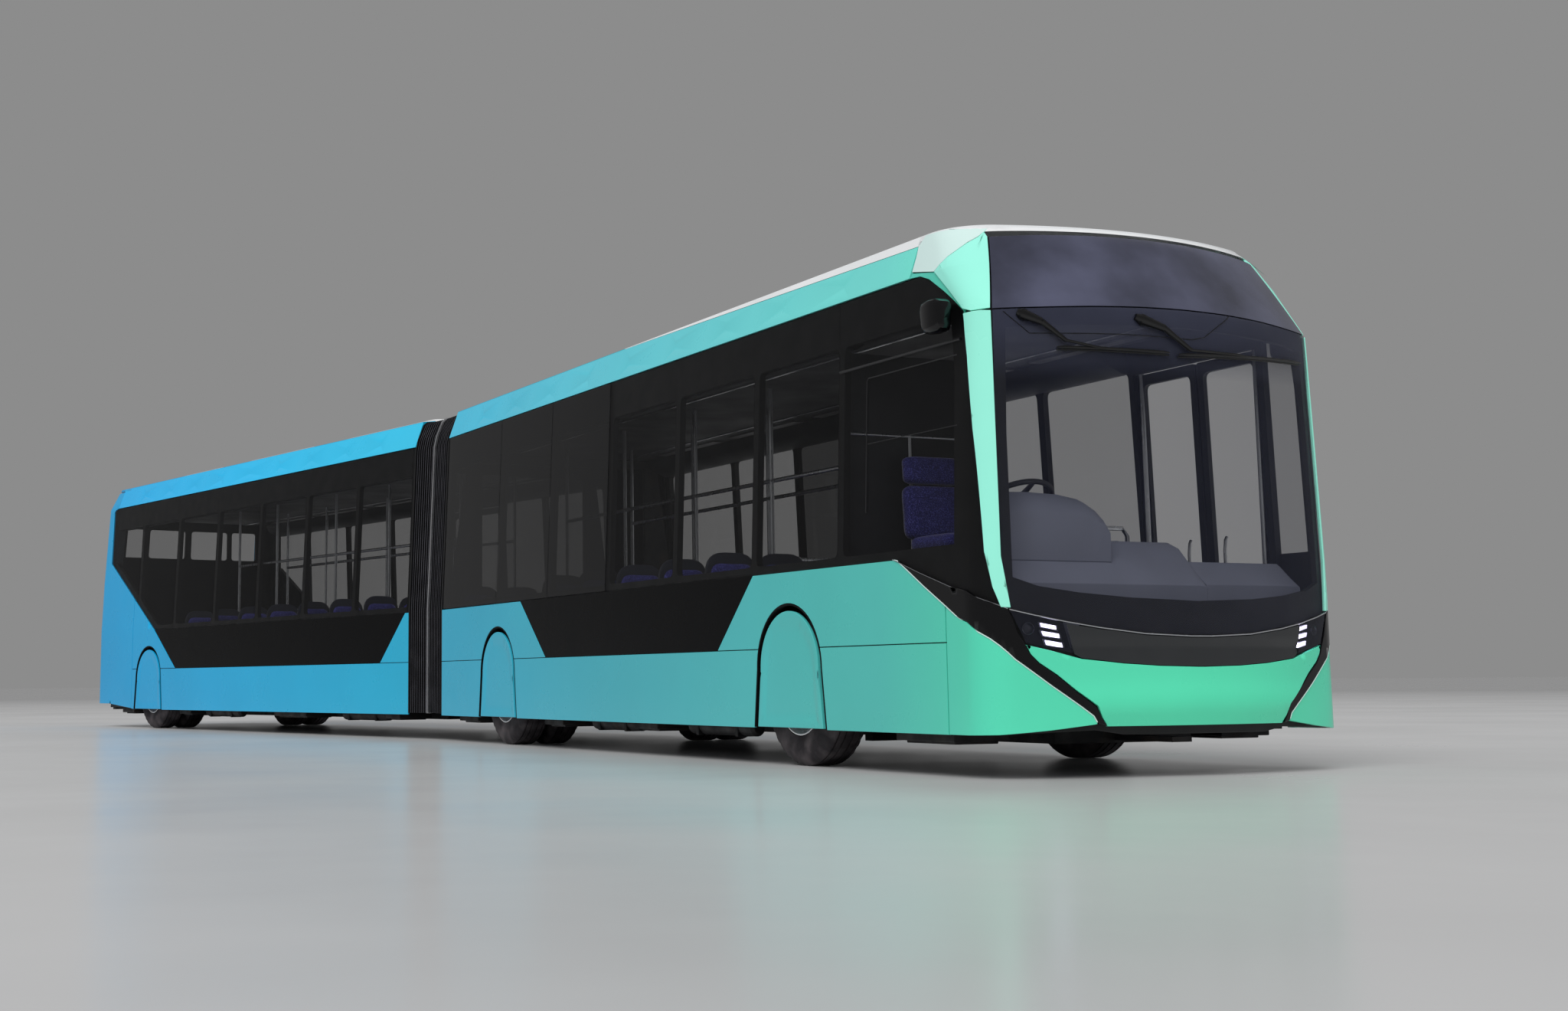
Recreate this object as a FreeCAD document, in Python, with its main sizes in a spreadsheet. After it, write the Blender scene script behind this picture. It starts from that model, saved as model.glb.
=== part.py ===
import FreeCAD, Part
import math
import os
import re

import Sketcher
from FreeCAD import Placement, Rotation, Vector

# Articulated electric city bus, in millimetres.
# Bus coordinates: the nose is at Y 0 and the tail at Y bus_length, +X is the bus's left
# side, and Z 0 is the ground. Every sub-part is drawn on the straight bus. The rear
# section is then turned about the articulation, and the whole bus is moved so that the
# origin lies on the ground under the middle of its box.

SIZES = [
    # overall
    ("bus_length", 18750), ("bus_width", 2550), ("skirt_height", 236), ("seam_height", 750),
    ("belt_height", 1247), ("glass_top", 2909), ("eaves_height", 3178), ("roof_top", 3240),
    ("shoulder_half", 1209), ("eaves_half", 1114), ("crown_half", 1010), ("wall", 60),
    # axles and tyres
    ("front_axle", 2420), ("drive_axle", 7620), ("rear_axle", 16870), ("tyre_radius", 478),
    ("tyre_width", 275), ("tyre_bevel", 44), ("tyre_face", 1208), ("twin_pitch", 310),
    ("rim_radius", 286), ("rim_wall", 30), ("hub_radius", 120), ("spindle_radius", 45), ("running_gap", 0.3),
    ("kingpin_half", 1005), ("kingpin_radius", 18),
    # articulation
    ("pivot_place", 9611), ("bellows_length", 1036), ("bellows_inset", 40),
    ("bellows_depth", 150), ("turntable_radius", 850), ("turntable_gap", 6), ("fold_angle", 10.88),
    # floor and ceiling
    ("floor_height", 330), ("floor_thick", 50), ("ceiling_height", 2760), ("rail_deep", 110),
    ("beam_deep", 95), ("beam_drop", 35), ("floor_tuck", 11.3),
    ("rail_half", 420), ("rail_wide", 80), ("ring_thick", 50), ("passage_half", 880),
    # wheel arches and covers
    ("arch_tuck", 60), ("arch_rise", 142), ("foot_tuck", 13), ("cover_gap", 46),
    ("swing_room", 45), ("arch_lip", 8),
    ("cover_thick", 24), ("cover_foot", 244),
    ("box_wall", 20), ("steer_box_half", 572), ("steer_box_room", 82), ("fixed_box_half", 480),
    ("fixed_box_room", 62), ("box_room", 114),
    # front and rear ends
    ("mask_back", 632), ("header_back", 940), ("screen_bottom", 931), ("screen_top", 2603),
    ("screen_half", 1130), ("glass_thick", 8), ("seat_gap", 0.3), ("tail_long", 550),
    ("tail_skirt", 303), ("tail_window_low", 1900), ("tail_window_high", 2740), ("tail_window_half", 880),
    # doors
    ("door_wide", 1150), ("door_top", 2600), ("sill_height", 336), ("leaf_thick", 40),
    ("leaf_gap", 8), ("leaf_middle_gap", 22), ("post_half", 1190), ("post_inset", 38),
    ("post_radius", 18), ("front_door", 700), ("middle_door", 4300), ("rear_door", 12300),
    # windows
    ("window_low", 1262), ("window_high", 2895),
    # towing
    ("tow_place", 260), ("tow_height", 185), ("tow_thick", 30), ("tow_radius", 20.5),
    # cabin
    ("seat_width", 420), ("seat_depth", 430), ("seat_cushion", 430), ("seat_back", 1130),
    ("cab_floor", 880),
    ("seat_back_thick", 60), ("pole_radius", 16), ("pole_half", 340), ("rail_height", 2050),
]

doc = FreeCAD.newDocument("articulated_bus")
sheet = doc.addObject("Spreadsheet::Sheet", "dims")
for row, (alias, value) in enumerate(SIZES, start=1):
    sheet.set(f"A{row}", alias)
    sheet.set(f"B{row}", str(value))
    sheet.setAlias(f"B{row}", alias)
doc.recompute()
size = {alias: float(getattr(sheet, alias)) for alias, _ in SIZES}
ALIAS = re.compile(r"\b(" + "|".join(alias for alias, _ in SIZES) + r")\b")


def bound(text):
    """An expression in which each alias points at the sheet."""
    return ALIAS.sub(r"dims.\1", str(text))


def bind(thing, prop, text):
    thing.setExpression(prop, bound(text))
    return thing


def place(thing, x, y, z):
    for axis, text in zip("xyz", (x, y, z)):
        bind(thing, f"Placement.Base.{axis}", text)


# ---------------------------------------------------------------- drawing helpers

def box(name, xs, ys, zs):
    """A block between two expressions along each axis."""
    block = doc.addObject("Part::Box", name)
    for prop, (low, high) in zip(("Length", "Width", "Height"), (xs, ys, zs)):
        bind(block, prop, f"({high}) - ({low})")
    place(block, xs[0], ys[0], zs[0])
    return block


def flipped(side, span):
    """A span along X on the left (side 1) or mirrored to the right (side -1)."""
    low, high = span
    if side > 0:
        return low, high
    return f"-({high})", f"-({low})"


def side_box(name, side, xs, ys, zs):
    return box(name, flipped(side, xs), ys, zs)


TURNS = {
    "X": Rotation(Vector(0, 1, 0), 90),
    "Y": Rotation(Vector(1, 0, 0), -90),
    "Z": Rotation(),
}


def cylinder(name, axis, radius, length, x, y, z):
    """A cylinder from a point along +X, +Y or +Z."""
    rod = doc.addObject("Part::Cylinder", name)
    bind(rod, "Radius", radius)
    bind(rod, "Height", length)
    rod.Placement = Placement(Vector(), TURNS[axis])
    place(rod, x, y, z)
    return rod


def side_cylinder(name, side, radius, xs, y, z):
    low, high = flipped(side, xs)
    return cylinder(name, "X", radius, f"({high}) - ({low})", low, y, z)


SKETCH_TURNS = {
    "XZ": Rotation(Vector(1, 0, 0), 90),
    "YZ": Rotation(Vector(1, 1, 1), 120),
    "XY": Rotation(),
}
PUSH = {"XZ": Vector(0, 1, 0), "YZ": Vector(1, 0, 0), "XY": Vector(0, 0, 1)}
OFFSET = {"XZ": "y", "YZ": "x", "XY": "z"}


def prism(name, plane, points, start, length):
    """A polygon sketch, each corner bound to the sheet, pushed along the plane's normal."""
    sketch = doc.addObject("Sketcher::SketchObject", name + "_outline")
    sketch.Placement = Placement(Vector(), SKETCH_TURNS[plane])
    count = len(points)
    rough = [Vector(100 * math.cos(2 * math.pi * i / count),
                    100 * math.sin(2 * math.pi * i / count), 0) for i in range(count)]
    for i in range(count):
        sketch.addGeometry(Part.LineSegment(rough[i], rough[(i + 1) % count]), False)
    for i in range(count):
        sketch.addConstraint(Sketcher.Constraint("Coincident", i, 2, (i + 1) % count, 1))
    for i, corner in enumerate(points):
        for kind, text in zip(("DistanceX", "DistanceY"), corner):
            index = sketch.addConstraint(Sketcher.Constraint(kind, -1, 1, i, 1, 1.0))
            bind(sketch, f"Constraints[{index}]", text)
    bind(sketch, f"Placement.Base.{OFFSET[plane]}", start)
    push = doc.addObject("Part::Extrusion", name)
    push.Base = sketch
    push.DirMode = "Custom"
    push.Dir = PUSH[plane]
    push.Solid = True
    bind(push, "LengthFwd", length)
    return push


def fused(name, pieces):
    if len(pieces) == 1:
        return pieces[0]
    joined = doc.addObject("Part::MultiFuse", name)
    joined.Shapes = pieces
    return joined


def cut(name, base, tools):
    result = doc.addObject("Part::Cut", name)
    result.Base = base
    result.Tool = fused(name + "_tools", tools)
    return result


def group(name, pieces):
    """Like pieces that don't touch, in one sub-part."""
    result = doc.addObject("Part::Compound", name)
    result.Links = pieces
    return result


def feature(name, shape):
    thing = doc.addObject("Part::Feature", name)
    thing.Shape = shape
    return thing


SUBPARTS = []


def subpart(label, section, thing):
    """Name a finished sub-part and say which section of the bus it belongs to."""
    whole = group(label + "_part", [thing])
    whole.Label = label
    SUBPARTS.append((whole, section))
    return whole


# ---------------------------------------------------------------- body section

FRONT_END = "pivot_place - bellows_length/2"
REAR_START = "pivot_place + bellows_length/2"
TAIL_START = "(bus_length - tail_long)"
HALF = "bus_width/2"
UNDER = "(floor_height - floor_thick)"
RAIL_LOW = f"({UNDER} - rail_deep)"
BOX_TOP = "(tyre_radius*2 + box_room)"
ARCH_CENTRE = "(tyre_radius + arch_rise)"


def lean(height):
    """Outer half width at a height between the belt and the top of the glass."""
    return (f"({HALF} - ({height} - belt_height)*({HALF} - shoulder_half)"
            "/(glass_top - belt_height))")


def wall_section(side, low):
    """Corners of a side wall's section: upright to the belt, then leaning in."""
    outer = [(HALF, low), (HALF, "belt_height"), ("shoulder_half", "glass_top")]
    inner = [("shoulder_half - wall", "glass_top"), (f"{HALF} - wall", "belt_height"),
             (f"{HALF} - wall", low)]
    corners = outer + inner
    if side > 0:
        return corners
    return [(f"-({x})", z) for x, z in reversed(corners)]


def arch_tool(name, side, axle, gap, xs, foot):
    """The outline of a wheel arch: a round head on legs that spread to the skirt."""
    half_head = f"(tyre_radius - arch_tuck - ({gap}))"
    half_foot = f"(tyre_radius - foot_tuck - ({gap}))"
    head = side_cylinder(name + "_head", side, half_head, xs, axle, ARCH_CENTRE)
    legs = [(f"{axle} - {half_foot}", foot), (f"{axle} + {half_foot}", foot),
            (f"{axle} + {half_head}", ARCH_CENTRE), (f"{axle} - {half_head}", ARCH_CENTRE)]
    low, high = flipped(side, xs)
    legs_prism = prism(name + "_legs", "YZ", legs, low, f"({high}) - ({low})")
    return fused(name, [head, legs_prism])


WALL_XS = ("shoulder_half - wall - 40", f"{HALF} + 40")


def side_wall(label, section, side, ys, low, windows, doors, axles, notch):
    """One side of a section, with its windows, doorways and arches cut through."""
    panel = prism(label + "_panel", "XZ", wall_section(side, low), ys[0], f"({ys[1]}) - ({ys[0]})")
    tools = []
    for i, (start, end, bottom, top) in enumerate(windows):
        tools.append(side_box(f"{label}_window{i}", side, WALL_XS, (start, end), (bottom, top)))
    for i, door in enumerate(doors):
        tools.append(side_box(f"{label}_doorway{i}", side, WALL_XS,
                              (door, f"{door} + door_wide"), ("sill_height", "door_top")))
    for i, axle in enumerate(axles):
        tools.append(arch_tool(f"{label}_arch{i}", side, axle, "0", WALL_XS, "skirt_height - 20"))
        if axle == "front_axle":
            behind_lip = (WALL_XS[0], f"{HALF} - arch_lip")
            tools.append(arch_tool(f"{label}_swing", side, axle, "-swing_room", behind_lip,
                                   "skirt_height - 20"))
    if notch:
        tools.append(side_box(label + "_notch", side, WALL_XS, ("mask_back - 100", "header_back"),
                              ("screen_top", "glass_top + 50")))
    return subpart(label, section, cut(label + "_cut", panel, tools))


def window_glass(name, side, start, end, bottom, top):
    """A pane that follows the wall's lean, seated in its opening."""
    low = f"({bottom} + seat_gap)"
    high = f"({top} - seat_gap)"
    corners = [(lean(low) + " - 2", low), (lean(high) + " - 2", high),
               (lean(high) + " - 2 - glass_thick", high), (lean(low) + " - 2 - glass_thick", low)]
    if side < 0:
        corners = [(f"-({x})", z) for x, z in reversed(corners)]
    return prism(name, "XZ", corners, f"{start} + seat_gap", f"({end}) - ({start}) - 2*seat_gap")


# start, end, sill and top of each window
FRONT_RIGHT_WINDOWS = [
    ("mask_back + 30", "header_back - 25", "window_low", "screen_top - 60"),
    ("header_back + 25", "1760", "window_low", "window_high"),
    ("1810", "2870", "window_low", "window_high"),
    ("2920", "4070", "window_low", "window_high"),
    ("4120", "5260", "window_low", "window_high"),
    ("5310", "6500", "window_low", "window_high"),
    ("6550", "7700", "window_low", "window_high"),
    ("7750", f"{FRONT_END} - 60", "window_low", "window_high"),
]
FRONT_LEFT_WINDOWS = [
    ("front_door + door_wide + 60", "2870", "window_low", "window_high"),
    ("2920", "middle_door - 60", "window_low", "window_high"),
    ("middle_door + door_wide + 60", "6500", "window_low", "window_high"),
    ("6550", "7700", "window_low", "window_high"),
    ("7750", f"{FRONT_END} - 60", "window_low", "window_high"),
]
REAR_RIGHT_WINDOWS = [
    (f"{REAR_START} + 60", "11400", "window_low", "window_high"),
    ("11450", "12700", "window_low", "window_high"),
    ("12750", "14000", "window_low", "window_high"),
    ("14050", "15300", "window_low", "window_high"),
    ("15350", "16600", "window_low", "window_high"),
    ("16650", f"{TAIL_START} - 60", "2180", "window_high"),
]
REAR_LEFT_WINDOWS = [
    (f"{REAR_START} + 60", "11200", "window_low", "window_high"),
    ("11250", "rear_door - 60", "window_low", "window_high"),
    ("rear_door + door_wide + 60", "15000", "window_low", "window_high"),
    ("15050", "16600", "window_low", "window_high"),
    ("16650", f"{TAIL_START} - 60", "2180", "window_high"),
]


def side_walls():
    front_span = ("mask_back + 4", FRONT_END)
    rear_span = (REAR_START, f"{TAIL_START} - 4")
    axles = ["front_axle", "drive_axle"]
    side_wall("front_right_wall", "front", -1, front_span, "skirt_height",
              FRONT_RIGHT_WINDOWS, [], axles, True)
    side_wall("front_left_wall", "front", 1, front_span, "skirt_height",
              FRONT_LEFT_WINDOWS, ["front_door", "middle_door"], axles, True)
    side_wall("rear_right_wall", "rear", -1, rear_span, "skirt_height",
              REAR_RIGHT_WINDOWS, [], ["rear_axle"], False)
    side_wall("rear_left_wall", "rear", 1, rear_span, "skirt_height",
              REAR_LEFT_WINDOWS, ["rear_door"], ["rear_axle"], False)


def side_glass():
    for section, right, left in (("front", FRONT_RIGHT_WINDOWS, FRONT_LEFT_WINDOWS),
                                 ("rear", REAR_RIGHT_WINDOWS, REAR_LEFT_WINDOWS)):
        panes = [window_glass(f"{section}_pane_right{i}", -1, *row) for i, row in enumerate(right)]
        panes += [window_glass(f"{section}_pane_left{i}", 1, *row) for i, row in enumerate(left)]
        if section == "rear":
            panes.append(rear_window())
        subpart(f"{section}_glass", section, group(f"{section}_panes", panes))


# section: start and end of each housing on the roof
ROOF_UNITS = {"front": ((1700, 4300), (4500, 7000), (7250, 8850)),
              "rear": ((10500, 13000), (13300, 15600), (15900, 17700))}


def roof(label, section, start, end):
    """A closed hollow roof: the ceiling below, the skin above, low housings on top."""
    right = [("-shoulder_half", "glass_top"), ("-eaves_half", "eaves_height"),
             ("-crown_half", "roof_top")]
    left = [("crown_half", "roof_top"), ("eaves_half", "eaves_height"),
            ("shoulder_half", "glass_top")]
    ceiling = [("shoulder_half - wall", "glass_top"), ("crown_half", "ceiling_height"),
               ("-crown_half", "ceiling_height"), ("-(shoulder_half - wall)", "glass_top")]
    skin = prism(label + "_skin", "XZ", list(reversed(right + left + ceiling)),
                 start, f"({end}) - ({start})")
    housings = []
    for i, (low, high) in enumerate(ROOF_UNITS[section]):
        housings.append(prism(f"{section}_housing{i}", "XZ",
                              [("-860", "roof_top - 5"), ("860", "roof_top - 5"),
                               ("800", "roof_top + 85"), ("-800", "roof_top + 85")],
                              low, high - low))
    hollow = box(label + "_hollow", ("-crown_half + 20", "crown_half - 20"),
                 (f"{start} + wall", f"{end} - wall"), ("ceiling_height + 40", "roof_top - 40"))
    subpart(label, section, cut(label + "_cut", fused(label + "_all", [skin] + housings), [hollow]))


def floor(label, section, start, end, boxes):
    """The cabin floor with a round bay at the turntable. Gives back the boxes over its wheels."""
    edge = f"{HALF} - wall"
    plate = box(label + "_plate", (f"-({edge})", edge), (start, end), (UNDER, "floor_height"))
    holes = [cylinder(label + "_bay", "Z", "turntable_radius + turntable_gap", "floor_thick + 20",
                      "0", "pivot_place", f"{UNDER} - 10")]
    wheel_boxes = []
    for i, (axle, half, long_half) in enumerate(boxes):
        for side in (-1, 1):
            tag = f"{label}_box{i}{'r' if side < 0 else 'l'}"
            xs = (half, edge)
            ys = (f"{axle} - {long_half}", f"{axle} + {long_half}")
            block = side_box(tag, side, xs, ys, (UNDER, BOX_TOP))
            well = side_box(tag + "_well", side, (f"{half} + box_wall", f"{edge} + 10"),
                            (f"{ys[0]} + box_wall", f"{ys[1]} - box_wall"),
                            (f"{UNDER} - 10", f"{BOX_TOP} - box_wall"))
            wheel_boxes.append(cut(tag + "_cut", block, [well]))
            holes.append(side_box(tag + "_hole", side, (half, f"{edge} + 10"), ys,
                                  (f"{UNDER} - 10", "floor_height + 10")))
    subpart(label, section, cut(label + "_cut", plate, holes))
    return wheel_boxes


def underframe(label, section, spans, ring_start, wheel_boxes):
    """Rails and cross members, the boxes over the wheels and the ring at the bellows end."""
    top = UNDER
    pieces = []
    for i, (start, end) in enumerate(spans):
        members = []
        for side in (-1, 1):
            members.append(side_box(f"{label}_rail{i}{'r' if side < 0 else 'l'}", side,
                                    ("rail_half", "rail_half + rail_wide"), (start, end),
                                    (RAIL_LOW, top)))
            for j, place_y in enumerate((start, f"{end} - rail_wide")):
                members.append(side_box(f"{label}_outrigger{i}{j}{'r' if side < 0 else 'l'}", side,
                                        ("rail_half", f"{HALF} - wall"),
                                        (place_y, f"{place_y} + rail_wide"),
                                        (f"{RAIL_LOW} + 60", top)))
        for j, place_y in enumerate((start, f"{end} - rail_wide")):
            members.append(box(f"{label}_cross{i}{j}", ("-rail_half", "rail_half"),
                               (place_y, f"{place_y} + rail_wide"), (RAIL_LOW, top)))
        pieces.append(fused(f"{label}_bay{i}", members))
    edge = f"{HALF} - wall"
    corners = [(f"-({edge})", "floor_height"), (edge, "floor_height"), (edge, "belt_height"),
               ("crown_half", "ceiling_height"), ("-crown_half", "ceiling_height"),
               (f"-({edge})", "belt_height")]
    if section == "front":
        tongue = box("tow_tongue", ("-70", "70"), ("tow_place - 60", "705"),
                     ("tow_height", "tow_height + tow_thick"))
        hole = cylinder("tow_hole", "Z", "tow_radius", "tow_thick + 40", "0", "tow_place",
                        "tow_height - 20")
        pieces[0] = cut("tow_bay", fused("tow_bay_all", [pieces[0], tongue]), [hole])
    ring = prism(label + "_ring", "XZ", corners, ring_start, "ring_thick")
    passage = box(label + "_passage", ("-passage_half", "passage_half"),
                  (f"{ring_start} - 20", f"{ring_start} + ring_thick + 20"),
                  ("floor_height - 20", "ceiling_height - 80"))
    pieces.append(cut(label + "_ring_open", ring, [passage]))
    pieces += wheel_boxes
    subpart(label, section, group(label + "_all", pieces))


# ---------------------------------------------------------------- front and rear ends

# height, set-back of the nose on the centre line, radius of the front, radius of the corner
NOSE_LEVELS = [
    ("skirt_height", 0, 3100, 250), ("screen_bottom", 0, 3100, 250), ("belt_height", 0, 3000, 240),
    ("screen_top", 0, 2600, 200), ("glass_top", 200, 2600, 290), (3092, 320, 2600, 350),
    ("eaves_height", 420, 2600, 350), ("roof_top", 480, 2600, 350),
]
TAIL_LEVELS = [
    ("tail_skirt", 0, 9000, 160), ("belt_height", 0, 9000, 160), ("tail_window_low", 0, 9000, 160),
    ("glass_top", 60, 9000, 170), ("eaves_height", 200, 9000, 180), ("roof_top", 320, 9000, 180),
]


def level_height(height):
    return size.get(height, height)


def half_at(height):
    """Outer half width of the body at a height."""
    rungs = [(size["skirt_height"], size["bus_width"]/2), (size["belt_height"], size["bus_width"]/2),
             (size["glass_top"], size["shoulder_half"]), (size["eaves_height"], size["eaves_half"]),
             (size["roof_top"], size["crown_half"])]
    for (low, start), (high, end) in zip(rungs, rungs[1:]):
        if height <= high:
            share = max(0.0, (height - low)/(high - low))
            return start + share*(end - start)
    return rungs[-1][1]


def bowed_outline(height, half, setback, radius, corner, back, inset):
    """A plan outline at one height: a bowed nose, round corners and straight sides to back."""
    centre_y = setback + radius
    corner_x = half - corner
    corner_y = centre_y - math.sqrt((radius - corner)**2 - corner_x**2)
    reach = radius/(radius - corner)
    tilt = math.atan2(corner_x, centre_y - corner_y)
    bow = radius - inset
    turn = corner - inset
    side = half - inset
    joint = Vector(bow*math.sin(tilt), centre_y - bow*math.cos(tilt), height)
    middle_tilt = (tilt + math.pi/2)/2
    bend = Vector(corner_x + turn*math.sin(middle_tilt), corner_y - turn*math.cos(middle_tilt), height)
    cheek = Vector(side, corner_y, height)
    heel = Vector(side, back, height)
    nose = Vector(0, setback + inset, height)

    def other(point):
        return Vector(-point.x, point.y, point.z)

    edges = [
        Part.LineSegment(other(heel), other(cheek)).toShape(),
        Part.Arc(other(cheek), other(bend), other(joint)).toShape(),
        Part.Arc(other(joint), nose, joint).toShape(),
        Part.Arc(joint, bend, cheek).toShape(),
        Part.LineSegment(cheek, heel).toShape(),
        Part.LineSegment(heel, other(heel)).toShape(),
    ]
    return Part.Wire(edges)


def bowed_solid(levels, back, inset, low, high):
    """A solid through the plan outlines between two heights, inset by a wall."""
    rungs = [(level_height(z), *rest) for z, *rest in levels]

    def at(height):
        for lower, upper in zip(rungs, rungs[1:]):
            if lower[0] <= height <= upper[0]:
                share = (height - lower[0])/(upper[0] - lower[0])
                return tuple(a + share*(b - a) for a, b in zip(lower[1:], upper[1:]))
        return rungs[0][1:] if height < rungs[0][0] else rungs[-1][1:]

    heights = sorted({low, high} | {rung[0] for rung in rungs if low < rung[0] < high})
    wires = [bowed_outline(z, half_at(z), *at(z), back, inset) for z in heights]
    parts = [Part.makeLoft([lower, upper], True, True) for lower, upper in zip(wires, wires[1:])]
    solid = parts[0]
    for part in parts[1:]:
        solid = solid.fuse(part)
    return solid


def block(low, high):
    return Part.makeBox(high[0] - low[0], high[1] - low[1], high[2] - low[2], Vector(*low))


def bowed_shell(levels, back, wall, low, high, closed_top):
    outer = bowed_solid(levels, back, 0, low, high)
    top = high - wall if closed_top else high
    inner = bowed_solid(levels, back, wall, low, top)
    return outer.cut(inner)


def tail_turn(shape):
    """Turn a shape drawn with its nose at Y 0 so that it ends the bus."""
    turned = shape.copy()
    turned.Placement = Placement(Vector(0, size["bus_length"], 0), Rotation(Vector(0, 0, 1), 180))
    return turned


def nose_cheek():
    """How far back the side's straight run starts at the foot of the nose."""
    _, set_back, radius, corner = NOSE_LEVELS[0]
    reach = size["bus_width"]/2 - corner
    return set_back + radius - math.sqrt((radius - corner)**2 - reach**2)


def front_end():
    wall = size["wall"]
    low, high = size["screen_bottom"], size["screen_top"]
    half = size["screen_half"]
    back = size["mask_back"]
    mask = bowed_shell(NOSE_LEVELS, back, wall, size["skirt_height"], low, False)
    subpart("front_mask", "front", feature("front_mask_shell", mask))

    posts = bowed_shell(NOSE_LEVELS, back, wall, low + size["seat_gap"], high, False)
    screen_hole = block((-half, -100, low), (half, back - 100, high))
    side_hole = block((-1500, 330, size["window_low"]), (1500, 590, high - 60))
    posts = posts.cut(screen_hole).cut(side_hole)
    header = bowed_shell(NOSE_LEVELS, size["header_back"], 40, high, size["roof_top"], True)
    beam_half = half_at(high) - wall/2
    beam = block((-beam_half, 480, high), (beam_half, 560, high + wall))
    whole = header.fuse([posts, beam])
    subpart("front_header", "front", feature("front_header_shell", whole))

    gap = size["seat_gap"]
    outer = bowed_solid(NOSE_LEVELS, back, 2, low + gap, high - gap)
    inner = bowed_solid(NOSE_LEVELS, back, 2 + size["glass_thick"], low + gap, high - gap)
    window = block((-half + gap, -100, low), (half - gap, back - 100, high))
    screen = outer.cut(inner).common(window)
    subpart("windscreen", "front", feature("windscreen_pane", screen))


def rear_window():
    """The tail's pane, seated in its opening."""
    back = size["tail_long"]
    gap = size["seat_gap"]
    half = size["tail_window_half"] - gap
    low, high = size["tail_window_low"] + gap, size["tail_window_high"] - gap
    outer = bowed_solid(TAIL_LEVELS, back, 2, low, high)
    inner = bowed_solid(TAIL_LEVELS, back, 2 + size["glass_thick"], low, high)
    pane = outer.cut(inner).common(block((-half, -100, low - 1), (half, 300, high + 1)))
    return feature("rear_window_pane", tail_turn(pane))


def rear_end():
    wall = size["wall"]
    back = size["tail_long"]
    shell = bowed_shell(TAIL_LEVELS, back, wall, size["tail_skirt"], size["roof_top"], True)
    half = size["tail_window_half"]
    shell = shell.cut(block((-half, -100, size["tail_window_low"]), (half, 300, size["tail_window_high"])))
    subpart("rear_mask", "rear", feature("rear_mask_shell", tail_turn(shell)))


# ---------------------------------------------------------------- wheels and axles

def ring_profile(radius_in, radius_out, low, high, bevel):
    """A wheel ring about the X axis, with bevelled outer shoulders."""
    points = [Vector(low, radius_in, 0), Vector(low, radius_out - bevel, 0),
              Vector(low + bevel, radius_out, 0), Vector(high - bevel, radius_out, 0),
              Vector(high, radius_out - bevel, 0), Vector(high, radius_in, 0)]
    face = Part.Face(Part.makePolygon(points + points[:1]))
    return face.revolve(Vector(), Vector(1, 0, 0), 360)


def tyre_solid(face):
    """A tyre whose outer side is at this X."""
    bead = size["rim_radius"]
    low = face - size["tyre_width"]
    return ring_profile(bead, size["tyre_radius"], low, face, size["tyre_bevel"])


def rim_solid(face, inner_face, bore):
    """A rim barrel from inner_face to face, a disc and a hub bored for its spindle."""
    outside = size["rim_radius"] - size["running_gap"]
    inside = outside - size["rim_wall"]
    barrel = Part.makeCylinder(outside, face - inner_face, Vector(inner_face, 0, 0), Vector(1, 0, 0))
    barrel = barrel.cut(Part.makeCylinder(inside, face - inner_face + 2,
                                          Vector(inner_face - 1, 0, 0), Vector(1, 0, 0)))
    disc_x = face - 75
    disc = Part.makeCylinder(inside + 1, 20, Vector(disc_x, 0, 0), Vector(1, 0, 0))
    hub = Part.makeCylinder(size["hub_radius"], 80, Vector(disc_x - 20, 0, 0), Vector(1, 0, 0))
    wheel = barrel.fuse([disc, hub])
    spindle_hole = Part.makeCylinder(bore, 66, Vector(disc_x - 30, 0, 0), Vector(1, 0, 0))
    return wheel.cut(spindle_hole)


def put(shape, side, place_y):
    """Set a wheel drawn for the left side on its axle, mirrored for the right."""
    if side < 0:
        shape = shape.mirror(Vector(), Vector(1, 0, 0))
    shape.translate(Vector(0, place_y, size["tyre_radius"]))
    return shape


SIDES = {"left": 1, "right": -1}


def wheels():
    outer = size["tyre_face"] - 8
    bore = size["spindle_radius"] + size["running_gap"]
    for axle, section, twin in (("front", "front", False), ("drive", "front", True),
                                ("rear", "rear", True)):
        for hand, side in SIDES.items():
            tyres = [tyre_solid(outer)]
            if twin:
                tyres.append(tyre_solid(outer - size["twin_pitch"]))
            inner = outer - size["tyre_width"] + 12
            if twin:
                inner -= size["twin_pitch"]
            place_y = size[axle + "_axle"]
            shapes = [put(tyre, side, place_y) for tyre in tyres]
            subpart(f"{axle}_tyre_{hand}", section,
                    feature(f"{axle}_tyre_{hand}_rubber", Part.makeCompound(shapes)))
            rim = put(rim_solid(outer - 8, inner, bore), side, place_y)
            subpart(f"{axle}_rim_{hand}", section, feature(f"{axle}_rim_{hand}_metal", rim))


BEAM_TOP = f"({UNDER} - beam_drop)"
BEAM_LOW = f"({BEAM_TOP} - beam_deep)"


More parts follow.
